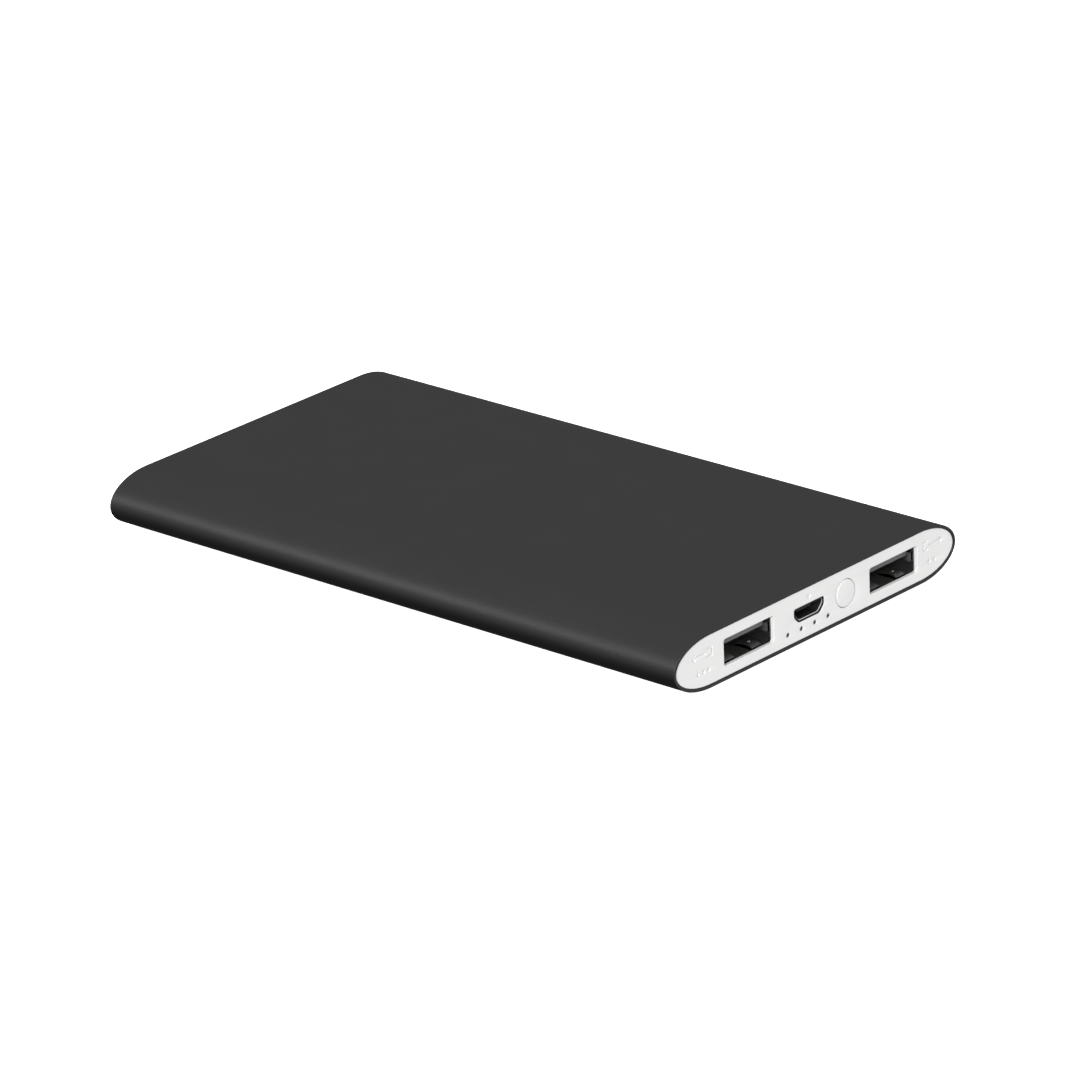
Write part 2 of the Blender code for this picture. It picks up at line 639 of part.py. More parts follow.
def make_switch():
    """The push switch behind the button: body with a pocket, sprung dome and plunger."""
    body_low = (BUTTON_X - SWITCH_HALF_WIDTH, SWITCH_FRONT, ON_BOARD)
    body_high = (BUTTON_X + SWITCH_HALF_WIDTH, SWITCH_BACK, SWITCH_TOP)
    body = box("switch_body", body_low, body_high, "chip_epoxy")
    pocket_low = (BUTTON_X - 1.3 * MM, SWITCH_FRONT - 1.0 * MM, MID - 0.62 * MM)
    pocket_high = (BUTTON_X + 1.3 * MM, SWITCH_POCKET_BACK, MID + 0.62 * MM)
    cut(body, box("switch_pocket_cutter", pocket_low, pocket_high, None))
    settle(body)
    plunger_low = (BUTTON_X - 1.1 * MM, PLUNGER_FRONT, MID - 0.5 * MM)
    plunger_high = (BUTTON_X + 1.1 * MM, PLUNGER_BACK, MID + 0.5 * MM)
    box("switch_plunger", plunger_low, plunger_high, "port_plastic")
    make_dome()


def make_dome():
    """The switch's spring: a thin arched strip that bows towards the plunger."""
    thick = 0.1 * MM
    half_span = 1.2 * MM
    apex_y = PLUNGER_BACK + 0.1 * MM
    foot_y = SWITCH_POCKET_BACK - FIT
    steps = 12
    front_edge = []
    back_edge = []
    for step in range(steps + 1):
        t = -1 + 2 * step / steps
        y = apex_y + (foot_y - thick - apex_y) * t**2
        front_edge.append((BUTTON_X + half_span * t, y))
        back_edge.append((BUTTON_X + half_span * t, y + thick))
    outline = front_edge + back_edge[::-1]
    prism("switch_dome", outline, "Z", MID - 0.5 * MM, MID + 0.5 * MM, "nickel_tab")


def build():
    clear_scene()
    make_sleeve()
    make_front_cap()
    make_rear_end()
    make_inner_frame()
    make_cell()
    make_board()
    make_components()
    for port, x in USB_A_X.items():
        make_usb_a(port, x)
    make_micro_usb()
    make_lights()
    make_button()
    make_switch()


build()
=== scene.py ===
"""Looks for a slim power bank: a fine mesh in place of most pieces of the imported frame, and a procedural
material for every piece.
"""

import json
import math

import bmesh
import bpy
from mathutils import Matrix, Vector


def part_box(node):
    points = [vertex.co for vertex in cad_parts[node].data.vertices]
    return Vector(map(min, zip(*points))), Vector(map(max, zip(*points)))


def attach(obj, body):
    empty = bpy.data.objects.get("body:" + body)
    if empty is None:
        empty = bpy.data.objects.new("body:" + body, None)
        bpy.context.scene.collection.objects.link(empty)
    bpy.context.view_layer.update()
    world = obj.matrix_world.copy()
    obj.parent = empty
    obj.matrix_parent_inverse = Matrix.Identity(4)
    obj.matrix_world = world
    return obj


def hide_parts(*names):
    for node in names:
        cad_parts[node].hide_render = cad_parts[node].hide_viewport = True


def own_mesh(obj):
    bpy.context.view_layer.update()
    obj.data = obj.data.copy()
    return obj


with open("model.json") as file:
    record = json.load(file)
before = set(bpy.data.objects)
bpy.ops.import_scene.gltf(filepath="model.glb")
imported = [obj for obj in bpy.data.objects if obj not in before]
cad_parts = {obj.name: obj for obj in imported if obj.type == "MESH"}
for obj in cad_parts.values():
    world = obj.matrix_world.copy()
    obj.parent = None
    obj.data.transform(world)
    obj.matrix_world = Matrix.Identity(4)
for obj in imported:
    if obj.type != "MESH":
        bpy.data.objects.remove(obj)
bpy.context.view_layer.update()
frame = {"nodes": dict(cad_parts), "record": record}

MM = 0.001

# Mesh building: points closer than WELD become one, and edges sharper than SHARP_ANGLE stay sharp
WELD = 0.0005 * MM
SHARP_ANGLE = math.radians(35)
BEVEL_STEPS = 3

# Materials by name, filled in by principled()
LOOKS = {}

SIDES = ((-1, "left"), (1, "right"))

# The sleeve, read from the frame; EDGE_DEPTH is how far its elliptical sides reach in
SLEEVE_LOW, SLEEVE_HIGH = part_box("housing_tube")
HALF_WIDTH = (SLEEVE_HIGH[0] - SLEEVE_LOW[0]) / 2
FRONT = SLEEVE_LOW[1]
REAR = SLEEVE_HIGH[1]
MID = (SLEEVE_LOW[2] + SLEEVE_HIGH[2]) / 2
EDGE_DEPTH = 9.1 * MM
WALL = 1.2 * MM
MOUTH_WALL = 0.58 * MM

# The front cap and what shows through it
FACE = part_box("front_cap")[0][1]
CAP_THICK = 0.75 * MM
CAP_BACK = FACE + CAP_THICK
CAP_GAP = 0.04 * MM
CAP_ROUNDING = 0.1 * MM
USB_A_OPENING = (12.3 * MM, 4.55 * MM)
USB_A_PORTS = ("usb_a_1", "usb_a_2")
MICRO_OPENING = (7.6 * MM, 2.6 * MM)
MICRO_CHAMFER = 1.15 * MM
LED_COUNT = 4
LED_Z = MID - 2.4 * MM
LED_HOLE_R = 0.4 * MM
BUTTON_R = 2.35 * MM
BUTTON_GAP = 0.1 * MM

# The sunk marks: outlines in mm about each mark's centre, and where the marks stand
ARROW = ((-1.7, -0.13), (0.9, -0.13), (0.9, -0.66), (1.85, 0.0), (0.9, 0.66), (0.9, 0.13), (-1.7, 0.13))
BRACKET_INSIDE = ((1.25, -0.54), (0.26, -0.54), (0.26, 0.54), (1.25, 0.54))
BRACKET = ((0.0, -0.8), (1.25, -0.8), *BRACKET_INSIDE, (1.25, 0.8), (0.0, 0.8))
BOLT = ((0.1, 0.7), (-0.4, -0.1), (-0.03, -0.1), (-0.18, -0.7), (0.4, 0.14), (0.03, 0.14))
DOWN_ARROW = ((-0.55, 0.36), (0.55, 0.36), (0.0, -0.42))
RIGHT_MARKS_X = 29.8 * MM
LEFT_MARKS_X = -28.5 * MM
MARK_DEPTH = 0.17 * MM

# The studio. Each sky is stops of a height, from straight down (0) to straight up (1), and a grey level
FLOOR_GLOW = 0.95
FLOOR_DROP = 0.2 * MM
FLOOR_REACH = 3.0
BACKDROP_RADIUS = 2.9
BACKDROP_TOP = 2.5
SKY = ((0.0, 0.15), (0.2, 0.22), (0.4, 0.6), (0.5, 0.8), (0.7, 0.91), (0.85, 0.97), (1.0, 1.0))
SKY_AHEAD = ((0.0, 0.4), (0.2, 0.9), (0.3, 1.35), (0.4, 1.0), (0.6, 0.9), (1.0, 1.0))
SKY_BEHIND = ((0.0, 0.1), (0.3, 0.15), (0.5, 0.33), (0.62, 0.68), (0.7, 1.08), (0.85, 1.06), (1.0, 1.0))
# Where a different sky takes over: its direction, the cosines at which it starts and is full, and its stops
SKY_LOBES = (
    ((0.74, -0.67, 0.0), (0.1, 0.7), SKY_AHEAD),
    ((0.74, 0.67, 0.0), (0.2, 0.7), SKY_BEHIND),
)
# Each light's name, place, size and watts, and whether it shows only in reflections (True) or never in them
LIGHT_TARGET = (0.0, 0.0, 0.005)
LIGHTS = (
    ("key", (-0.7, -0.75, 0.55), (0.45, 0.45), 6.0, True),
    ("side_glow", (-0.9, 0.95, 0.72), (0.7, 0.6), 3.2, True),
    ("raking", (-2.0, -0.78, 0.6), (0.5, 0.5), 42.0, False),
    ("rear_fill", (0.35, 1.1, 0.45), (0.5, 0.5), 7.5, False),
)


# ---- mesh helpers


def centre_of(node):
    """The middle of a node's box."""
    low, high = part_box(node)
    return [(a + b) / 2 for a, b in zip(low, high)]


def size_of(node):
    """A node's box as its three lengths."""
    low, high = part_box(node)
    return [b - a for a, b in zip(low, high)]


def shade(mesh):
    """Smooth, except across edges that turn by more than SHARP_ANGLE."""
    mesh.shade_smooth()
    mesh.set_sharp_from_angle(angle=SHARP_ANGLE)


def make_object(name, shape):
    """A mesh object from a bmesh, its faces turned outwards."""
    bmesh.ops.remove_doubles(shape, verts=shape.verts, dist=WELD)
    bmesh.ops.recalc_face_normals(shape, faces=shape.faces)
    mesh = bpy.data.meshes.new(name)
    shape.to_mesh(mesh)
    shape.free()
    shade(mesh)
    piece = bpy.data.objects.new(name, mesh)
    bpy.context.collection.objects.link(piece)
    return piece


def loft(name, rings, tube=False):
    """Skins rings of points. A tube's last ring meets its first; otherwise both ends are filled."""
    shape = bmesh.new()
    rows = [[shape.verts.new(point) for point in ring] for ring in rings]
    pairs = list(zip(rows, rows[1:]))
    if tube:
        pairs.append((rows[-1], rows[0]))
    else:
        shape.faces.new(rows[0])
        shape.faces.new(rows[-1])
    for near, far in pairs:
        for index in range(len(near)):
            after = (index + 1) % len(near)
            shape.faces.new((near[index], near[after], far[after], far[index]))
    return make_object(name, shape)


def along_y(stations):
    """Rings across Y from pairs of an outline in X and Z and its place along Y."""
    return [[(x, y, z) for x, z in outline] for outline, y in stations]


def turned(name, stations, axis, centre, segments=64):
    """A round piece about an axis through centre. Each station is a distance along it and a radius."""
    rings = []
    for distance, radius in stations:
        ring = []
        for step in range(segments):
            turn = 2 * math.pi * step / segments
            point = [radius * math.cos(turn), radius * math.sin(turn)]
            point.insert("XYZ".index(axis), distance)
            ring.append([a + b for a, b in zip(point, centre)])
        rings.append(ring)
    return loft(name, rings)


def domed(start, rise, radius):
    """Stations of a dome for turned(), up to near its pole, where it has risen by rise."""
    angles = [math.radians(86 * step / 6) for step in range(7)]
    return [(start + rise * math.sin(angle), radius * math.cos(angle)) for angle in angles]


def box(name, low, high, bevel=0.0):
    """A block between two corners with rounded edges."""
    shape = bmesh.new()
    bmesh.ops.create_cube(shape, size=1.0)
    for vert in shape.verts:
        vert.co = [a if side < 0 else b for side, a, b in zip(vert.co, low, high)]
    if bevel:
        bmesh.ops.bevel(
            shape, geom=shape.edges[:], offset=bevel, segments=BEVEL_STEPS, profile=0.5, affect="EDGES"
        )
    return make_object(name, shape)


def block(name, centre, size, bevel=0.0):
    """A block with rounded edges about its centre."""
    low = [middle - length / 2 for middle, length in zip(centre, size)]
    high = [middle + length / 2 for middle, length in zip(centre, size)]
    return box(name, low, high, bevel)


def ribbon(name, path, across, width, thickness):
    """A bent strip of sheet metal about its middle line, path. Its width lies along the axis across."""
    side = Vector(across)
    rings = []
    for index, point in enumerate(path):
        before = Vector(path[max(index - 1, 0)])
        after = Vector(path[min(index + 1, len(path) - 1)])
        rise = (after - before).cross(side).normalized() * thickness / 2
        reach = side * width / 2
        middle = Vector(point)
        rings.append([
            middle - reach - rise,
            middle + reach - rise,
            middle + reach + rise,
            middle - reach + rise,
        ])
    return loft(name, rings)


def plate(name, outlines, y, thickness, bevel, resolution=3):
    """A plate across Y, with rounded edges. The first outline is its rim, the others are holes in it."""
    curve = bpy.data.curves.new(name, "CURVE")
    curve.dimensions = "2D"
    curve.fill_mode = "BOTH"
    curve.extrude = thickness / 2 - bevel
    curve.bevel_depth = bevel
    curve.bevel_resolution = resolution
    curve.offset = -bevel
    for outline in outlines:
        spline = curve.splines.new("POLY")
        spline.points.add(len(outline) - 1)
        for point, (x, z) in zip(spline.points, outline):
            point.co = (x, z, 0.0, 1.0)
        spline.use_cyclic_u = True
    holder = bpy.data.objects.new(name + "_outline", curve)
    bpy.context.collection.objects.link(holder)
    graph = bpy.context.evaluated_depsgraph_get()
    mesh = bpy.data.meshes.new_from_object(holder.evaluated_get(graph))
    bpy.data.objects.remove(holder)
    bpy.data.curves.remove(curve)
    mesh.transform(Matrix.Translation((0.0, y, 0.0)) @ Matrix.Rotation(math.radians(90), 4, "X"))
    shape = bmesh.new()
    shape.from_mesh(mesh)
    bpy.data.meshes.remove(mesh)
    return make_object(name, shape)


def combine(target, others, operation):
    """Adds or cuts shapes with an exact Boolean, keeps the result as the target's mesh and drops them."""
    for other in others:
        step = target.modifiers.new("combine", "BOOLEAN")
        step.operation = operation
        step.solver = "EXACT"
        step.object = other
    graph = bpy.context.evaluated_depsgraph_get()
    mesh = bpy.data.meshes.new_from_object(target.evaluated_get(graph))
    target.modifiers.clear()
    target.data = mesh
    for other in others:
        bpy.data.objects.remove(other)
    shade(mesh)
    return target


def add(target, *others):
    """Joins shapes to the target."""
    return combine(target, others, "UNION")


def cut(target, *others):
    """Takes shapes out of the target."""
    return combine(target, others, "DIFFERENCE")


def flatten_normals(piece):
    """Lets the broad flat faces set the normals, so that rounded edges don't shade across them."""
    step = piece.modifiers.new("normals", "WEIGHTED_NORMAL")
    step.keep_sharp = True
    graph = bpy.context.evaluated_depsgraph_get()
    mesh = bpy.data.meshes.new_from_object(
        piece.evaluated_get(graph), preserve_all_data_layers=True, depsgraph=graph
    )
    piece.modifiers.clear()
    piece.data = mesh


def place(piece, slot, instead_of=(), body="case", look=None):
    """Gives a piece its look, and makes it ride on its body in place of CAD nodes, which it hides.

    The look is the one named after the slot, unless another is asked for.
    """
    flatten_normals(piece)
    piece.data.materials.clear()
    piece.data.materials.append(LOOKS[look or slot])
    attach(piece, body)
    if instead_of:
        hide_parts(*instead_of)
    return piece


# ---- outlines


def section(inset):
    """The sleeve's pebble section as points in X and Z, moved inwards by inset."""
    steps = 48
    half_flat = HALF_WIDTH - EDGE_DEPTH
    reach = EDGE_DEPTH - inset
    rise = MID - SLEEVE_LOW[2] - inset
    outline = []
    for side, first in ((1, -90), (-1, 90)):
        for step in range(steps + 1):
            angle = math.radians(first + 180 * step / steps)
            outline.append((side * half_flat + reach * math.cos(angle), MID + rise * math.sin(angle)))
    return outline


def rounded_rectangle(centre, size, radius, steps=8):
    """A rectangle with round corners, each in a number of steps."""
    width, height = size
    outline = []
    for quarter, (side_x, side_z) in enumerate(((1, 1), (-1, 1), (-1, -1), (1, -1))):
        corner_x = centre[0] + side_x * (width / 2 - radius)
        corner_z = centre[1] + side_z * (height / 2 - radius)
        for step in range(steps + 1):
            angle = math.radians(90 * quarter + 90 * step / steps)
            outline.append((corner_x + radius * math.cos(angle), corner_z + radius * math.sin(angle)))
    return outline


def rounded_polygon(corners, radius, steps=6):
    """A polygon with each corner rounded by a short quadratic curve."""
    outline = []
    for index, corner in enumerate(corners):
        ends = []
        for neighbour in (corners[index - 1], corners[(index + 1) % len(corners)]):
            share = min(radius / math.dist(corner, neighbour), 0.5)
            ends.append([a + (b - a) * share for a, b in zip(corner, neighbour)])
        for step in range(steps + 1):
            t = step / steps
            blend = ((1 - t) ** 2, 2 * t * (1 - t), t**2)
            points = zip(ends[0], corner, ends[1])
            outline.append([blend[0] * a + blend[1] * b + blend[2] * c for a, b, c in points])
    return outline


def micro_outline(centre, size, radius):
    """A micro-USB mouth: wide side up, its two lower corners cut off slantwise."""
    half_x = size[0] / 2
    half_z = size[1] / 2
    corners = (
        (half_x, half_z),
        (-half_x, half_z),
        (-half_x, -half_z + MICRO_CHAMFER),
        (-half_x + MICRO_CHAMFER, -half_z),
        (half_x - MICRO_CHAMFER, -half_z),
        (half_x, -half_z + MICRO_CHAMFER),
    )
    return rounded_polygon([(centre[0] + x, centre[1] + z) for x, z in corners], radius)


def circle(centre, radius, steps):
    """A circle's points in X and Z."""
    outline = []
    for step in range(steps):
        angle = 2 * math.pi * step / steps
        outline.append((centre[0] + radius * math.cos(angle), centre[1] + radius * math.sin(angle)))
    return outline


# ---- materials


def principled(name, colour, roughness, metallic=0.0):
    """A new material with its Principled shader's even values set, kept in LOOKS.

    Blender may add a number to its name, because the frame's materials have the same names.
    """
    made = bpy.data.materials.new(name)
    made.use_nodes = True
    shader = made.node_tree.nodes["Principled BSDF"]
    shader.inputs["Base Color"].default_value = (*colour, 1.0)
    shader.inputs["Roughness"].default_value = roughness
    shader.inputs["Metallic"].default_value = metallic
    LOOKS[name] = made
    return made


def coordinates(material, stretch=(1.0, 1.0, 1.0)):
    """Object coordinates in metres, drawn out along an axis by its stretch."""
    nodes = material.node_tree.nodes
    source = nodes.new("ShaderNodeTexCoord")
    scaling = nodes.new("ShaderNodeMapping")
    scaling.inputs["Scale"].default_value = [1 / factor for factor in stretch]
    material.node_tree.links.new(source.outputs["Object"], scaling.inputs["Vector"])
    return scaling.outputs["Vector"]


def noise(material, size, detail=3.0, stretch=(1.0, 1.0, 1.0)):
    """A noise pattern with features about size across, fixed to the piece."""
    pattern = material.node_tree.nodes.new("ShaderNodeTexNoise")
    pattern.inputs["Scale"].default_value = 1 / size
    pattern.inputs["Detail"].default_value = detail
    material.node_tree.links.new(coordinates(material, stretch), pattern.inputs["Vector"])
    return pattern.outputs["Fac"]


def cells(material, size, feature="F1"):
    """A cell pattern with cells about size across."""
    pattern = material.node_tree.nodes.new("ShaderNodeTexVoronoi")
    pattern.feature = feature
    pattern.inputs["Scale"].default_value = 1 / size
    material.node_tree.links.new(coordinates(material), pattern.inputs["Vector"])
    return pattern.outputs["Distance"]


def ramp(material, source, low, high, start=0.35, end=0.65):
    """Maps a pattern to a colour between low and high."""
    node = material.node_tree.nodes.new("ShaderNodeValToRGB")
    node.color_ramp.elements[0].position = start
    node.color_ramp.elements[0].color = (*low, 1.0)
    node.color_ramp.elements[1].position = end
    node.color_ramp.elements[1].color = (*high, 1.0)
    material.node_tree.links.new(source, node.inputs["Fac"])
    return node.outputs["Color"]


def spread(material, source, low, high):
    """Maps a pattern to a number between low and high."""
    node = material.node_tree.nodes.new("ShaderNodeMapRange")
    node.inputs["From Min"].default_value = 0.3
    node.inputs["From Max"].default_value = 0.7
    node.inputs["To Min"].default_value = low
    node.inputs["To Max"].default_value = high
    material.node_tree.links.new(source, node.inputs["Value"])
    return node.outputs["Result"]


def bump(material, source, height, below=None):
    """A bump of the given height from a pattern, on top of another bump if there is one."""
    node = material.node_tree.nodes.new("ShaderNodeBump")
    node.inputs["Distance"].default_value = height
    material.node_tree.links.new(source, node.inputs["Height"])
    if below:
        material.node_tree.links.new(below, node.inputs["Normal"])
    return node.outputs["Normal"]


def feed(material, socket, source):
    """Links a pattern to a socket of the material's shader."""
    shader = material.node_tree.nodes["Principled BSDF"]
    material.node_tree.links.new(source, shader.inputs[socket])


def set_socket(material, socket, value):
    """Sets an even value on a socket of the material's shader."""
    material.node_tree.nodes["Principled BSDF"].inputs[socket].default_value = value


def textured(
    name, colour, roughness, metallic=0.0, grain=0.2, height=0.01, tone=0.06, patch=9.0, stretch=(1, 1, 1)
):
    """A surface with fine grain, patches of slightly different tone, and uneven gloss. Sizes are in mm."""
    made = principled(name, colour, roughness, metallic)
    fine = noise(made, grain * MM, 2.0, stretch)
    broad = noise(made, patch * MM, 4.0, stretch)
    low = [value * (1 - tone) for value in colour]
    high = [min(value * (1 + tone), 1.0) for value in colour]
    feed(made, "Base Color", ramp(made, broad, low, high))
    feed(made, "Roughness", spread(made, fine, roughness * 0.9, roughness * 1.1))
    feed(made, "Normal", bump(made, fine, height * MM))
    return made


def anodised():
    """Bead-blasted, anodised aluminium: a dark satin metal that stays dark at a glancing angle."""
    made = textured("anodised_shell", (0.050, 0.050, 0.051), 0.43, 1.0, grain=0.15, height=0.018, tone=0.02)
    set_socket(made, "Specular Tint", (0.55, 0.55, 0.55, 1.0))


def board_green():
    """Solder mask over copper: winding darker lines between slightly raised, lighter copper."""
    made = principled("circuit_board", (0.02, 0.09, 0.05), 0.4)
    lines = cells(made, 1.6 * MM, "DISTANCE_TO_EDGE")
    feed(made, "Base Color", ramp(made, lines, (0.010, 0.050, 0.026), (0.022, 0.105, 0.055), 0.04, 0.09))
    fine = noise(made, 0.15 * MM)
    feed(made, "Roughness", spread(made, fine, 0.32, 0.48))
    feed(made, "Normal", bump(made, fine, 0.004 * MM, bump(made, lines, 0.02 * MM)))


def foam_cells():
    """Closed-cell foam: pores of two sizes, and a soft dark surface."""
    made = principled("foam", (0.03, 0.03, 0.03), 0.92)
    pores = cells(made, 0.22 * MM)
    broad = noise(made, 2.5 * MM)
    feed(made, "Base Color", ramp(made, broad, (0.022, 0.022, 0.022), (0.036, 0.036, 0.035)))
    feed(made, "Roughness", spread(made, broad, 0.86, 0.96))
    feed(made, "Normal", bump(made, pores, 0.06 * MM))


def pouch_foil():
    """Aluminium laminate: bright, a little uneven in gloss, with broad soft wrinkles."""
    made = textured("cell_foil", (0.58, 0.58, 0.60), 0.36, 1.0, grain=0.25, height=0.003, tone=0.04)
    wrinkles = noise(made, 14.0 * MM, 2.0, (1.0, 3.0, 1.0))
    fine = made.node_tree.nodes["Principled BSDF"].inputs["Normal"].links[0].from_socket
    feed(made, "Normal", bump(made, wrinkles, 0.25 * MM, fine))


def matt_black():
    """Glass-filled black plastic, as moulded, that hardly shines: the micro-USB tongue's own colour, and
    painted shade in the ring round the micro-USB shell and the lining inside it.
    """
    made = textured("black_plastic_and_painted_shade", (0.012, 0.012, 0.012), 0.6, grain=0.1, height=0.004, tone=0.1)
    set_socket(made, "Specular IOR Level", 0.2)


def make_looks():
    """Every material of the object, into LOOKS."""
    anodised()
    textured("white_plastic", (0.735, 0.735, 0.73), 0.55, grain=0.12, height=0.004, tone=0.012)
    textured("button_plastic", (0.705, 0.705, 0.70), 0.32, grain=0.2, height=0.002, tone=0.01)
    textured("rear_plate_plastic", (0.60, 0.60, 0.58), 0.55, grain=0.2, height=0.012)
    textured("frame_plastic", (0.03, 0.03, 0.03), 0.5, grain=0.25, height=0.02, tone=0.12)
    textured("port_steel", (0.78, 0.78, 0.79), 0.3, 1.0, grain=0.1, height=0.003, stretch=(1, 12, 1))
    textured("worn_steel", (0.3, 0.3, 0.3), 0.45, 1.0, grain=0.1, height=0.004)
    # port_dark_steel: steel darkened far below port_steel for the USB-A shells, painted shade that keeps the
    # sockets' insides near-black
    textured(
        "port_dark_steel", (0.27, 0.27, 0.27), 0.45, 1.0, grain=0.1, height=0.004, stretch=(1, 12, 1)
    )
    textured("port_plastic", (0.085, 0.085, 0.085), 0.38, grain=0.1, height=0.004, tone=0.1)
    matt_black()
    textured("contact_gold", (0.83, 0.61, 0.28), 0.25, 1.0, grain=0.08, height=0.001)
    board_green()
    pouch_foil()
    textured("nickel_tab", (0.66, 0.63, 0.58), 0.3, 1.0, grain=0.12, height=0.004, stretch=(1, 15, 1))
    foam_cells()
    textured("screw_steel", (0.55, 0.55, 0.56), 0.3, 1.0, grain=0.06, height=0.002, tone=0.1)
    textured("chip_epoxy", (0.02, 0.02, 0.022), 0.5, grain=0.05, height=0.006, tone=0.15, patch=1.5)
    textured(
        "capacitor_ceramic", (0.45, 0.33, 0.22), 0.45, grain=0.06, height=0.003, tone=0.1, patch=0.8
    )
    textured("led_lens", (0.62, 0.62, 0.55), 0.15, grain=0.3, height=0.002)


# ---- sleeve and end caps


def make_sleeve():
    """The extruded tube: rounded outer edges at its mouths, and a ledge inside each for the cap."""
    edge = 0.15 * MM
    lip = 0.06 * MM
    clearance = 0.12 * MM
    front_ledge = CAP_BACK + clearance
    rear_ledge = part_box("rear_plate")[0][1] - clearance
    corner_steps = 5
    length_steps = 16
    stations = []
    for step in range(corner_steps + 1):
        angle = math.radians(90 * step / corner_steps)
        stations.append((edge * (1 - math.sin(angle)), FRONT + edge * (1 - math.cos(angle))))
    for step in range(1, length_steps):
        stations.append((0.0, FRONT + (REAR - FRONT) * step / length_steps))
    for step in range(corner_steps + 1):
        angle = math.radians(90 * step / corner_steps)
        stations.append((edge * (1 - math.cos(angle)), REAR - edge * (1 - math.sin(angle))))
    stations += [
        (MOUTH_WALL - lip, REAR),
        (MOUTH_WALL, REAR - lip),
        (MOUTH_WALL, rear_ledge),
        (WALL, rear_ledge),
        (WALL, front_ledge),
        (MOUTH_WALL, front_ledge),
        (MOUTH_WALL, FRONT + lip),
        (MOUTH_WALL - lip, FRONT),
    ]
    sleeve = loft("sleeve", along_y((section(inset), y) for inset, y in stations), tube=True)
    place(sleeve, "anodised_shell", ["housing_tube"])


def mark_outline(corners, centre, rounding, flip=1):
    """A mark's outline on the cap, from corners in mm about its centre. A flip of -1 mirrors it."""
    outline = [(centre[0] + flip * x * MM, centre[1] + z * MM) for x, z in corners]
    return rounded_polygon(outline, rounding, 3)


def output_marks(middle, side, pips):
    """An arrow that leaves a bracket, and under it a bolt with a pip for each step of current."""
    upper = MID + 1.3 * MM
    lower = MID - 1.6 * MM
    pip_radius = 0.34 * MM
    first_pip = 0.3
    pip_pitch = 1.25
    outlines = [
        mark_outline(BRACKET, (middle - side * 2.6 * MM, upper), 0.08 * MM, side),
        mark_outline(ARROW, (middle + side * 0.7 * MM, upper), 0.08 * MM, side),
        mark_outline(BOLT, (middle - 1.1 * MM, lower), 0.05 * MM),
    ]
    for pip in range(pips):
        outlines.append(circle((middle + (first_pip + pip_pitch * pip) * MM, lower), pip_radius, 24))
    return outlines


def cap_lugs():
    """The two snap lugs behind the cap, each with its hook."""
    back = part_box("front_cap")[1][1]
    lug_reach = (30.5 * MM, 31.7 * MM)
    hook_reach = (29.3 * MM, 31.0 * MM)
    half_lug = 1.6 * MM
    half_hook = 1.5 * MM
    lugs = []
    for side, word in SIDES:
        lug_x = sorted(side * reach for reach in lug_reach)
        hook_x = sorted(side * reach for reach in hook_reach)
        lug_low = (lug_x[0], CAP_BACK - 0.3 * MM, MID - half_lug)
        lug_high = (lug_x[1], back, MID + half_lug)
        hook_low = (hook_x[0], back - 1.2 * MM, MID - half_hook)
        hook_high = (hook_x[1], back - 0.1 * MM, MID + half_hook)
        lugs.append(box(f"lug_{word}", lug_low, lug_high))
        lugs.append(box(f"hook_{word}", hook_low, hook_high))
    return lugs


def cap_openings(margin):
    """The outlines of the sockets, the button and the lights, each wider all round by margin.

    The light holes keep their points in line. Turning every other hole by half a step made the cap's
    Boolean fail and most of the cap vanish, which no check of closure or of clashes noticed.
    """
    corner = 0.5 * MM
    outlines = []
    for port in USB_A_PORTS:
        x, _, z = centre_of(port + "_shell")
        size = [side + 2 * margin for side in USB_A_OPENING]
        outlines.append(rounded_rectangle((x, z), size, corner))
    x, _, z = centre_of("micro_usb_shell")
    size = [side + 2 * margin for side in MICRO_OPENING]
    outlines.append(micro_outline((x, z), size, corner))
    x, _, z = centre_of("button_cap")
    outlines.append(circle((x, z), BUTTON_R + BUTTON_GAP + margin, 72))
    for number in range(1, LED_COUNT + 1):
        outlines.append(circle((centre_of(f"led_{number}")[0], LED_Z), LED_HOLE_R + margin, 24))
    return outlines


def make_front_cap():
    """The white cap: openings with rounded edges, sunk marks in place of lettering, and its lugs.

    The marks are holes through the face. A backing behind it, a little wider at the rim and at the
    openings than the face, closes them at MARK_DEPTH.
    """
    micro_x = centre_of("micro_usb_shell")[0]
    marks = [
        *output_marks(RIGHT_MARKS_X, 1, 1),
        *output_marks(LEFT_MARKS_X, -1, 2),
        mark_outline(DOWN_ARROW, (micro_x, MID + 2.4 * MM), 0.08 * MM),
    ]
    rim = section(MOUTH_WALL + CAP_GAP)
    middle = FACE + CAP_THICK / 2
    cap = plate("front_face", [rim, *cap_openings(0.0), *marks], middle, CAP_THICK, CAP_ROUNDING)
    margin = 0.07 * MM
    step_in = 0.14 * MM
    backing_thick = CAP_THICK - MARK_DEPTH - step_in
    backing_middle = FACE + MARK_DEPTH + backing_thick / 2
    backing_rim = section(MOUTH_WALL + CAP_GAP + margin)
    backing_outlines = [backing_rim, *cap_openings(margin)]
    backing = plate("face_backing", backing_outlines, backing_middle, backing_thick, 0.02 * MM, 0)
    add(cap, backing, *cap_lugs())
    place(cap, "white_plastic", ["front_cap"])


def make_rear_cap():
    """The plain white cap at the rear end."""
    low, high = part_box("rear_cap")
    thickness = high[1] - low[1]
    outline = section(MOUTH_WALL + CAP_GAP)
    cap = plate("rear_face", [outline], low[1] + thickness / 2, thickness, CAP_ROUNDING)
    place(cap, "white_plastic", ["rear_cap"])


# ---- sockets


def leaf_lift(share):
    """How far a spring leaf stands out at a share of its length, as a share of its highest point."""
    crest = 0.75
    if share < crest:
        return 0.5 - 0.5 * math.cos(math.pi * share / crest)
    return 1 - 0.6 * ((share - crest) / (1 - crest)) ** 2


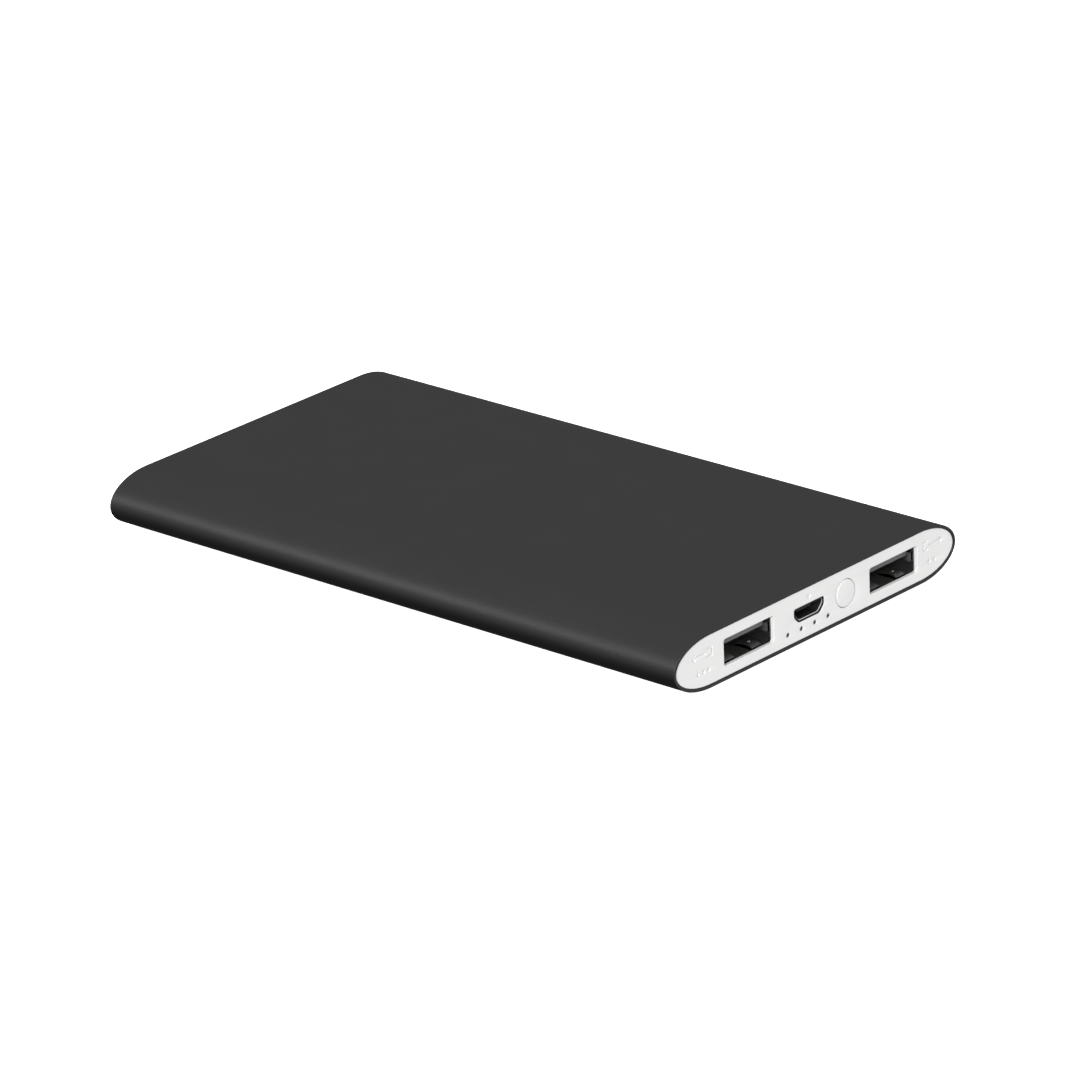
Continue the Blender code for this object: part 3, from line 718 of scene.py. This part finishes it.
def leaf_path(start, end, lift):
    """A spring leaf's middle line from its root to its tip, bent out along the vector lift."""
    steps = 14
    path = []
    for step in range(steps + 1):
        share = step / steps
        point = Vector(start).lerp(Vector(end), share)
        path.append(point + Vector(lift) * leaf_lift(share))
    return path


def make_dimple(name, crest):
    """The polished bump on a leaf's crest, where it presses on the plug."""
    radius = 0.3 * MM
    stations = [(-0.04 * MM, radius), *domed(0.08 * MM, 0.22 * MM, radius)]
    place(turned(name, stations, "Z", crest, 24), "port_steel", look="worn_steel")


def make_usb_a_shell(port):
    """The pressed steel shell, with windows in its floor and sides where spring leaves grip the plug."""
    node = port + "_shell"
    x, _, z = centre_of(node)
    width, _, height = size_of(node)
    low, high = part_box(node)
    wall = 0.29 * MM
    lip = 0.1 * MM
    stations = (
        (0.0, high[1]),
        (0.0, low[1] + lip),
        (lip, low[1]),
        (wall - lip, low[1]),
        (wall, low[1] + lip),
        (wall, high[1]),
    )
    rings = []
    for inset, y in stations:
        size = (width - 2 * inset, height - 2 * inset)
        rings.append((rounded_rectangle((x, z), size, 0.6 * MM - inset), y))
    shell = loft(port + "_sleeve", along_y(rings), tube=True)
    leaf_width = 2.2 * MM
    leaf_thick = 0.2 * MM
    side_leaf_width = 1.5 * MM
    side_lift = 0.5 * MM
    side_window_height = 1.64 * MM
    margin = 0.25 * MM
    root = low[1] + 5.6 * MM
    tip = low[1] + 0.5 * MM
    lift = 0.7 * MM
    windows = []
    leaves = []
    for number, offset in enumerate((-3.3 * MM, 3.3 * MM), start=1):
        middle = (x + offset, (root + tip) / 2, low[2] + wall / 2)
        opening = (leaf_width + 2 * margin, root - tip + 2 * margin, 3 * wall)
        windows.append(block(f"{port}_floor_window_{number}", middle, opening))
        start = (x + offset, root + 2 * margin, middle[2])
        end = (x + offset, tip, middle[2])
        path = leaf_path(start, end, (0.0, 0.0, lift))
        leaf_name = f"{port}_floor_leaf_{number}"
        leaves.append(ribbon(leaf_name, path, (1.0, 0.0, 0.0), leaf_width, leaf_thick))
        crest = max(path, key=lambda point: point[2])
        make_dimple(f"{port}_dimple_{number}", crest)
    for number, side in ((1, -1), (2, 1)):
        edge = x + side * (width - wall) / 2
        opening = (3 * wall, root - tip + 2 * margin, side_window_height)
        windows.append(block(f"{port}_side_window_{number}", (edge, (root + tip) / 2, z), opening))
        path = leaf_path((edge, root + 2 * margin, z), (edge, tip, z), (-side * side_lift, 0.0, 0.0))
        leaf_name = f"{port}_side_leaf_{number}"
        leaves.append(ribbon(leaf_name, path, (0.0, 0.0, 1.0), side_leaf_width, leaf_thick))
    cut(shell, *windows)
    add(shell, *leaves)
    # Its darkened steel is painted shade inside the socket
    place(shell, "port_dark_steel", [node])


def make_usb_a_insert(port):
    """The moulded block at the back of a socket and its tongue, with a groove for each contact."""
    node = port + "_tongue"
    low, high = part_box(node)
    x, _, z = centre_of(port + "_shell")
    block_front = high[1] - 3.15 * MM
    half_width = 5.55 * MM
    top = z + 1.96 * MM
    bottom = top - 1.84 * MM
    chamfer = 0.5 * MM
    tongue_back = block_front + 0.5 * MM
    stations = (
        (chamfer, 0.25 * MM, low[1]),
        (0.0, 0.0, low[1] + 1.2 * chamfer),
        (0.0, 0.0, tongue_back),
    )
    rings = []
    for cut_off, narrower, y in stations:
        size = (2 * (half_width - narrower), top - bottom - cut_off)
        rings.append((rounded_rectangle((x, (top + bottom + cut_off) / 2), size, 0.15 * MM), y))
    insert = loft(port + "_insert", along_y(rings))
    rear = box(port + "_block", (low[0], block_front, low[2]), high, 0.12 * MM)
    add(insert, rear)
    groove_margin = 0.15 * MM
    groove_depth = 0.3 * MM
    grooves = []
    for number in range(1, 5):
        contact_low, contact_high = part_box(f"{port}_contact_{number}")
        groove_low = (contact_low[0] - groove_margin, contact_low[1] - 0.1 * MM, bottom - groove_depth)
        groove_high = (contact_high[0] + groove_margin, block_front - 0.05 * MM, bottom + groove_depth)
        grooves.append(box(f"{port}_groove_{number}", groove_low, groove_high))
    cut(insert, *grooves)
    place(insert, "port_plastic", [node])


def make_contact(node, lift, rise, setback):
    """A contact spring in place of its CAD strip: it bends down in a rounded crest near its tip."""
    low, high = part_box(node)
    x = (low[0] + high[0]) / 2
    thick = high[2] - low[2]
    level = (low[2] + high[2]) / 2 + rise
    path = leaf_path((x, high[1], level), (x, low[1] + setback, level), (0.0, 0.0, -lift))
    contact = ribbon(node + "_spring", path, (1.0, 0.0, 0.0), high[0] - low[0], thick)
    place(contact, "contact_gold", [node])


def make_micro_shell():
    """The micro-USB shell: a bright steel lip just inside the cap's opening."""
    node = "micro_usb_shell"
    x, _, z = centre_of(node)
    width, _, height = size_of(node)
    low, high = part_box(node)
    wall = 0.165 * MM
    lip = 0.06 * MM
    stations = (
        (0.0, high[1]),
        (0.0, low[1] + lip),
        (lip, low[1]),
        (wall - lip, low[1]),
        (wall, low[1] + lip),
        (wall, high[1]),
    )
    rings = []
    for inset, y in stations:
        size = (width - 2 * inset, height - 2 * inset)
        rings.append((micro_outline((x, z), size, 0.4 * MM), y))
    shell = loft("micro_usb_sleeve", along_y(rings), tube=True)
    place(shell, "port_steel", [node])


def make_micro_painted_gap_shade():
    """Painted shadow: a thin black ring that fills the gap between the cap's opening and the shell, where that
    gap lies in shade.
    """
    x, _, z = centre_of("micro_usb_shell")
    outer_play = 0.04 * MM
    inner_play = 0.56 * MM
    outer = micro_outline((x, z), [side - outer_play for side in MICRO_OPENING], 0.48 * MM)
    inner = micro_outline((x, z), [side - inner_play for side in MICRO_OPENING], 0.4 * MM)
    front = FACE + 0.1 * MM
    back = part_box("micro_usb_shell")[0][1] - 0.01 * MM
    stations = ((outer, back), (outer, front), (inner, front), (inner, back))
    painted_gap_shade = loft("micro_usb_painted_gap_shade", along_y(stations), tube=True)
    place(painted_gap_shade, "port_plastic", look="black_plastic_and_painted_shade")


def make_micro_tongue_and_shade_lining():
    """The black moulding inside the micro-USB shell: the tongue and its back wall of black plastic, and a
    lining that is painted shade, making the shell's inside near-black where it lies in shadow.
    """
    x, _, z = centre_of("micro_usb_shell")
    width, _, height = size_of("micro_usb_shell")
    shell_low, shell_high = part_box("micro_usb_shell")
    front = shell_low[1] + 0.12 * MM
    floor = shell_high[1] - 0.8 * MM
    outer = 0.18 * MM
    inner = 0.26 * MM
    rings = []
    for inset, y in ((outer, shell_high[1]), (outer, front), (inner, front), (inner, floor)):
        size = (width - 2 * inset, height - 2 * inset)
        rings.append((micro_outline((x, z), size, 0.35 * MM), y))
    insert = loft("micro_usb_tongue_and_shade_lining", along_y(rings))
    contact_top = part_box("micro_usb_contact_1")[1][2]
    half_tongue = 1.85 * MM
    tongue_low = (x - half_tongue, shell_low[1] + 0.9 * MM, contact_top + 0.05 * MM)
    tongue_high = (x + half_tongue, floor + 0.3 * MM, contact_top + 0.65 * MM)
    add(insert, box("micro_usb_blade", tongue_low, tongue_high, 0.1 * MM))
    place(insert, "port_plastic", ["micro_usb_tongue"], look="black_plastic_and_painted_shade")


def make_sockets():
    """Both USB-A sockets and the micro-USB socket, with their contacts."""
    for port in USB_A_PORTS:
        make_usb_a_shell(port)
        make_usb_a_insert(port)
        for number in range(1, 5):
            make_contact(f"{port}_contact_{number}", 0.24 * MM, 0.15 * MM, 0.6 * MM)
    make_micro_shell()
    make_micro_painted_gap_shade()
    make_micro_tongue_and_shade_lining()
    for number in range(1, 6):
        make_contact(f"micro_usb_contact_{number}", 0.03 * MM, 0.0, 0.8 * MM)


# ---- button and lights


def make_button():
    """The round button: a slightly domed head with a soft edge, its hidden flange and its stem."""
    low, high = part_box("button_cap")
    x, _, z = centre_of("button_cap")
    fillet = 0.22 * MM
    crown = 0.06 * MM
    flange_front = CAP_BACK + 0.12 * MM
    flange_back = flange_front + 0.5 * MM
    flange = size_of("button_cap")[0] / 2
    stem = 0.8 * MM
    crown_steps = 8
    fillet_steps = 6
    stations = [(low[1], 0.02 * MM)]
    for step in range(1, crown_steps + 1):
        share = step / crown_steps
        stations.append((low[1] + crown * share**2, (BUTTON_R - fillet) * share))
    for step in range(1, fillet_steps + 1):
        angle = math.radians(90 * step / fillet_steps)
        depth = low[1] + crown + fillet * (1 - math.cos(angle))
        stations.append((depth, BUTTON_R - fillet + fillet * math.sin(angle)))
    stations += [
        (flange_front, BUTTON_R),
        (flange_front, flange),
        (flange_back, flange),
        (flange_back, stem),
        (high[1], stem),
    ]
    button = turned("push_button", stations, "Y", (x, 0.0, z), 96)
    place(button, "button_plastic", ["button_cap"], "button")


def make_light(number):
    """A small light: a moulded body with a domed lens that faces its hole in the cap."""
    node = f"led_{number}"
    low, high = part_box(node)
    x, _, z = centre_of(node)
    body = box(f"light_{number}", low, high, 0.08 * MM)
    radius = 0.32 * MM
    stations = [(0.2 * MM, radius), *domed(0.0, -0.3 * MM, radius)]
    lens = turned(f"light_lens_{number}", stations, "Y", (x, low[1] + 0.1 * MM, z), 24)
    add(body, lens)
    place(body, "led_lens", [node])


def make_shroud():
    """The black shroud in front of the lights, with a collar that lines each hole in the cap."""
    low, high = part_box("led_shroud")
    shroud = box("light_shroud", low, high, 0.06 * MM)
    front = FACE + 0.09 * MM
    radius = LED_HOLE_R - 0.01 * MM
    rounding = 0.05 * MM
    bore = 0.2 * MM
    collars = []
    bores = []
    for number in range(1, LED_COUNT + 1):
        centre = (centre_of(f"led_{number}")[0], 0.0, LED_Z)
        collar = ((low[1] + 0.3 * MM, radius), (front + rounding, radius), (front, radius - rounding))
        collars.append(turned(f"light_collar_{number}", collar, "Y", centre, 32))
        drill = ((FACE - MM, bore), (high[1] + MM, bore))
        bores.append(turned(f"light_bore_{number}", drill, "Y", centre, 24))
    add(shroud, *collars)
    cut(shroud, *bores)
    place(shroud, "foam", ["led_shroud"], look="port_plastic")


# ---- inside


def make_screw(node, axis):
    """A cylinder-head screw with a cross recess and a threaded shank."""
    low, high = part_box(node)
    index = "XYZ".index(axis)
    centre = centre_of(node)
    head_top = high[index]
    tip = low[index]
    head_radius = (high[0] - low[0]) / 2
    head_height = 0.55 * MM
    shank = 0.58 * MM
    thread_root = shank - 0.1 * MM
    rounding = 0.15 * MM
    pitch = 0.4 * MM
    stations = [(tip, 0.15 * MM)]
    turns = int((head_top - head_height - tip) / pitch)
    for turn_number in range(turns):
        level = tip + pitch * turn_number
        stations.append((level + 0.25 * pitch, thread_root))
        stations.append((level + 0.5 * pitch, shank))
        stations.append((level + 0.75 * pitch, shank))
    stations += [
        (head_top - head_height, thread_root),
        (head_top - head_height, head_radius - 0.05 * MM),
        (head_top - head_height + 0.05 * MM, head_radius),
        (head_top - rounding, head_radius),
        (head_top - 0.04 * MM, head_radius - 0.6 * rounding),
        (head_top, head_radius - rounding),
    ]
    foot = list(centre)
    foot[index] = 0.0
    screw = turned(node + "_turned", stations, axis, foot, 32)
    slots = []
    for number, long_axis in enumerate(other for other in range(3) if other != index):
        size = [0.28 * MM] * 3
        size[long_axis] = 1.35 * MM
        size[index] = 0.8 * MM
        middle = list(centre)
        middle[index] = head_top
        slots.append(block(f"{node}_slot_{number}", middle, size))
    cut(screw, *slots)
    place(screw, "screw_steel", [node])


def make_cell():
    """The pouch: a crowned body with rounded ends, a thin sealed edge in front and folded side seals."""
    low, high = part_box("battery_cell")
    x, _, z = centre_of("battery_cell")
    width, _, height = size_of("battery_cell")
    seal = 3.0 * MM
    shoulder = 1.6 * MM
    fold = 0.45 * MM
    body_width = width - 2 * fold
    body_front = low[1] + seal
    steps = 6
    rings = []
    for start, direction in ((body_front, 1), (high[1], -1)):
        part = []
        for step in range(steps + 1):
            angle = math.radians(90 * step / steps)
            inset = shoulder * (1 - math.sin(angle))
            y = start + direction * shoulder * (1 - math.cos(angle))
            size = (body_width - 2 * inset, height - 1.2 * inset)
            part.append((rounded_rectangle((x, z), size, 1.3 * MM, 6), y))
        rings += part if direction > 0 else part[::-1]
    pouch = loft("pouch", along_y(rings))
    edge = box(
        "pouch_front_seal",
        (x - body_width / 2 + 1.0 * MM, low[1], z - 0.15 * MM),
        (x + body_width / 2 - 1.0 * MM, body_front + 1.0 * MM, z + 0.15 * MM),
        0.05 * MM,
    )
    add(pouch, edge)
    place(pouch, "cell_foil", ["battery_cell"])
    for side, word in SIDES:
        middle = (x + side * (width - fold) / 2, (body_front + high[1]) / 2, z)
        size = (fold, high[1] - body_front - 2 * shoulder, height - 1.2 * MM)
        strip = block(f"pouch_fold_{word}", middle, size, 0.15 * MM)
        place(strip, "cell_foil")


def make_inductor():
    """A moulded power inductor: a square body, a round core let into its top, and two end plates."""
    low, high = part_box("inductor")
    x, y, _ = centre_of("inductor")
    top = high[2]
    end = 0.1 * MM
    ring = 2.5 * MM
    core_radius = 2.15 * MM
    body_low = (low[0] + end, low[1], low[2])
    body = box("inductor_body", body_low, (high[0] - end, high[1], top), 0.5 * MM)
    recess = ((top - 0.25 * MM, ring), (top + 1.0 * MM, ring))
    cut(body, turned("inductor_ring", recess, "Z", (x, y, 0.0)))
    core = ((top - 0.4 * MM, core_radius), (top - 0.15 * MM, core_radius), (top - 0.05 * MM, 2.0 * MM))
    add(body, turned("inductor_core", core, "Z", (x, y, 0.0)))
    place(body, "chip_epoxy", ["inductor"])
    for side, word in SIDES:
        edge = low[0] if side < 0 else high[0]
        middle = (edge - side * 0.25 * MM, y, low[2] + 0.6 * MM)
        plate_piece = block(f"inductor_end_{word}", middle, (0.5 * MM, 2.4 * MM, 1.2 * MM), 0.08 * MM)
        place(plate_piece, "nickel_tab")


def make_flat_chip():
    """The charge controller: a thin moulded chip with a corner dot and a row of pads on each side."""
    low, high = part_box("charge_controller")
    x, y, _ = centre_of("charge_controller")
    inset = 0.06 * MM
    body_low = (low[0] + inset, low[1] + inset, low[2] + 0.02 * MM)
    body = box("controller_body", body_low, (high[0] - inset, high[1] - inset, high[2]), 0.05 * MM)
    dot = ((high[2] - 0.06 * MM, 0.3 * MM), (high[2] + 0.5 * MM, 0.3 * MM))
    cut(body, turned("controller_dot", dot, "Z", (low[0] + 0.8 * MM, high[1] - 0.8 * MM, 0.0), 24))
    place(body, "chip_epoxy", ["charge_controller"])
    pitch = 0.65 * MM
    pads = []
    for number in range(6):
        offset = (number - 2.5) * pitch
        for side in (-1, 1):
            edge = side * (high[0] - low[0]) / 2 - side * 0.15 * MM
            pads.append(((x + offset, y + edge), (0.3 * MM, 0.3 * MM)))
            pads.append(((x + edge, y + offset), (0.3 * MM, 0.3 * MM)))
    leads = [
        block(f"controller_pad_{number}", (*spot, low[2] + 0.1 * MM), (*size, 0.2 * MM))
        for number, (spot, size) in enumerate(pads)
    ]
    place(join("controller_pads", leads), "nickel_tab")


def make_leaded_chip():
    """The protection switch: a moulded chip with four bent legs on each long side."""
    low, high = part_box("protection_switch")
    x, y, _ = centre_of("protection_switch")
    reach = 0.45 * MM
    body_low = (low[0] + reach, low[1] + 0.1 * MM, low[2] + 0.1 * MM)
    body_high = (high[0] - reach, high[1] - 0.1 * MM, high[2])
    body = box("switch_chip_body", body_low, body_high, 0.1 * MM)
    place(body, "chip_epoxy", ["protection_switch"])
    legs = []
    thick = 0.12 * MM
    leg_width = 0.35 * MM
    for side in (-1, 1):
        inner = x + side * (high[0] - low[0] - 2 * reach) / 2
        outer = x + side * (high[0] - low[0]) / 2
        for number in range(4):
            leg_y = y + (number - 1.5) * 1.0 * MM
            path = (
                (inner - side * 0.1 * MM, leg_y, low[2] + 0.5 * MM),
                (inner + side * 0.12 * MM, leg_y, low[2] + 0.5 * MM),
                (inner + side * 0.22 * MM, leg_y, low[2] + thick / 2),
                (outer, leg_y, low[2] + thick / 2),
            )
            leg_name = f"switch_chip_leg_{side}_{number}"
            legs.append(ribbon(leg_name, path, (0.0, 1.0, 0.0), leg_width, thick))
    place(join("switch_chip_legs", legs), "nickel_tab")


def join(name, pieces):
    """One object from several separate closed shapes."""
    shape = bmesh.new()
    for piece in pieces:
        shape.from_mesh(piece.data)
        bpy.data.objects.remove(piece)
    return make_object(name, shape)


def make_capacitor(number):
    """A ceramic capacitor with a plated cap on each end."""
    node = f"capacitor_{number}"
    low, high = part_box(node)
    end = 0.6 * MM
    skin = 0.03 * MM
    body_low = (low[0] + skin, low[1] + skin, low[2] + skin)
    body_high = (high[0] - skin, high[1] - skin, high[2] - skin)
    body = box(node + "_body", body_low, body_high, 0.1 * MM)
    place(body, "capacitor_ceramic", [node])
    ends = [
        box(node + "_front_end", low, (high[0], low[1] + end, high[2]), 0.12 * MM),
        box(node + "_rear_end", (low[0], high[1] - end, low[2]), high, 0.12 * MM),
    ]
    place(join(node + "_ends", ends), "nickel_tab")


def make_dome():
    """The switch's snap dome: an arched strip on flat feet, as it stands before the plunger comes in."""
    low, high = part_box("switch_dome")
    thickness = 0.1 * MM
    steps = 24
    rings = []
    for step in range(steps + 1):
        share = step / steps
        x = low[0] + (high[0] - low[0]) * share
        y = low[1] + (high[1] - thickness - low[1]) * math.cos(math.pi * share) ** 2
        rings.append([
            (x, y, low[2]),
            (x, y, high[2]),
            (x, y + thickness, high[2]),
            (x, y + thickness, low[2]),
        ])
    dome = loft("snap_dome", rings)
    place(dome, "nickel_tab", ["switch_dome"])
    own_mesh(dome)


def make_inside():
    """All that is behind the caps and stays hidden in the assembled object."""
    make_dome()
    for number in (1, 2):
        make_screw(f"rear_plate_screw_{number}", "Y")
        make_screw(f"board_screw_{number}", "Z")
    make_cell()
    make_inductor()
    make_flat_chip()
    make_leaded_chip()
    for number in (1, 2, 3):
        make_capacitor(number)


def finish_cad_nodes():
    """Gives each CAD node the material of its slot; those that stay on show keep it."""
    for part in frame["record"]["subparts"]:
        slots = frame["nodes"][part["node"]].data.materials
        slots.clear()
        slots.append(LOOKS[part["material_slot"]])


# ---- studio


def make_floor():
    """A pale floor and a round backdrop. Both glow, are seen, and light or reflect in nothing."""
    shape = bmesh.new()
    bmesh.ops.create_grid(shape, x_segments=2, y_segments=2, size=FLOOR_REACH)
    floor = make_object("floor", shape)
    floor.location.z = -FLOOR_DROP
    paper = textured("floor_paper", (0.86, 0.86, 0.86), 0.7, grain=2.0, height=0.02, tone=0.004)
    set_socket(paper, "Emission Color", (1.0, 1.0, 1.0, 1.0))
    set_socket(paper, "Emission Strength", FLOOR_GLOW)
    floor.data.materials.append(paper)
    floor.visible_glossy = False
    floor.visible_diffuse = False
    foot = -0.01
    outside = 2.95
    profile = (
        (foot, BACKDROP_RADIUS),
        (BACKDROP_TOP, BACKDROP_RADIUS),
        (BACKDROP_TOP, outside),
        (foot, outside),
    )
    wall = turned("backdrop", profile, "Z", (0.0, 0.0, 0.0), 96)
    wall.data.materials.append(paper)
    wall.visible_glossy = False
    wall.visible_diffuse = False
    wall.visible_shadow = False


def area_light(name, location, size, power, reflected):
    """A lamp aimed at the object, which shows only in reflections if reflected, and otherwise never."""
    lamp = bpy.data.lights.new(name, "AREA")
    lamp.shape = "RECTANGLE"
    lamp.size, lamp.size_y = size
    lamp.energy = power
    holder = bpy.data.objects.new(name, lamp)
    bpy.context.collection.objects.link(holder)
    holder.location = location
    holder.rotation_euler = (Vector(location) - Vector(LIGHT_TARGET)).to_track_quat("Z", "Y").to_euler()
    holder.visible_diffuse = not reflected
    holder.visible_glossy = reflected


def shades_by_height(world, height, stops):
    """A colour ramp that gives the grey level of each height from its stops."""
    node = world.node_tree.nodes.new("ShaderNodeValToRGB")
    world.node_tree.links.new(height, node.inputs["Fac"])
    marks = node.color_ramp.elements
    marks[0].position, marks[1].position = 0.0, 1.0
    for _ in range(len(stops) - 2):
        marks.new(0.5)
    for mark, (position, level) in zip(marks, stops):
        mark.position = position
        mark.color = (level, level, level, 1.0)
    return node.outputs["Color"]


def rescaled(world, source, low, high):
    """A value's place between low and high."""
    node = world.node_tree.nodes.new("ShaderNodeMapRange")
    node.inputs["From Min"].default_value = low
    node.inputs["From Max"].default_value = high
    world.node_tree.links.new(source, node.inputs["Value"])
    return node.outputs["Result"]


def make_sky():
    """A soft white room: dark below the horizon except in front of the ports, and dim behind the object."""
    world = bpy.data.worlds.new("studio")
    bpy.context.scene.world = world
    world.use_nodes = True
    nodes = world.node_tree.nodes
    links = world.node_tree.links
    direction = nodes.new("ShaderNodeTexCoord").outputs["Generated"]
    parts = nodes.new("ShaderNodeSeparateXYZ")
    links.new(direction, parts.inputs["Vector"])
    height = rescaled(world, parts.outputs["Z"], -1.0, 1.0)
    shades = shades_by_height(world, height, SKY)
    for towards, (start, full), stops in SKY_LOBES:
        reach = nodes.new("ShaderNodeVectorMath")
        reach.operation = "DOT_PRODUCT"
        reach.inputs[1].default_value = towards
        links.new(direction, reach.inputs[0])
        blend = nodes.new("ShaderNodeMix")
        links.new(rescaled(world, reach.outputs["Value"], start, full), blend.inputs["Factor"])
        links.new(shades, blend.inputs["A"])
        links.new(shades_by_height(world, height, stops), blend.inputs["B"])
        shades = blend.outputs["Result"]
    links.new(shades, nodes["Background"].inputs["Color"])


def make_studio():
    """Floor, sky and lights, with colours shown as they are."""
    make_floor()
    make_sky()
    for light in LIGHTS:
        area_light(*light)
    bpy.context.scene.view_settings.view_transform = "Standard"
    bpy.context.scene.view_settings.look = "None"


def make_camera():
    """A long lens from the front left and above, turned a little about its own axis."""
    azimuth = math.radians(-47.664)
    elevation = math.radians(21.711)
    roll = math.radians(-2.489)
    distance = 1115.4 * MM
    right_offset = 2.107 * MM
    up_offset = -2.714 * MM
    lens = 224.97
    back = Vector((
        math.sin(azimuth) * math.cos(elevation),
        -math.cos(azimuth) * math.cos(elevation),
        math.sin(elevation),
    ))
    level_right = Vector((math.cos(azimuth), math.sin(azimuth), 0.0))
    level_up = back.cross(level_right)
    right = level_right * math.cos(roll) + level_up * math.sin(roll)
    up = level_up * math.cos(roll) - level_right * math.sin(roll)
    data = bpy.data.cameras.new("camera")
    data.lens = lens
    data.sensor_width = 36.0
    data.clip_start = 0.01
    data.clip_end = 20.0
    camera = bpy.data.objects.new("camera", data)
    bpy.context.collection.objects.link(camera)
    turn = Matrix((right, up, back)).transposed().to_4x4()
    eye = Vector((0.0, 0.0, MID)) + back * distance + right * right_offset + up * up_offset
    camera.matrix_world = Matrix.Translation(eye) @ turn
    bpy.context.scene.camera = camera


make_looks()
finish_cad_nodes()
make_sleeve()
make_front_cap()
make_rear_cap()
make_sockets()
make_button()
make_shroud()
for led_number in range(1, LED_COUNT + 1):
    make_light(led_number)
make_inside()
make_studio()
make_camera()
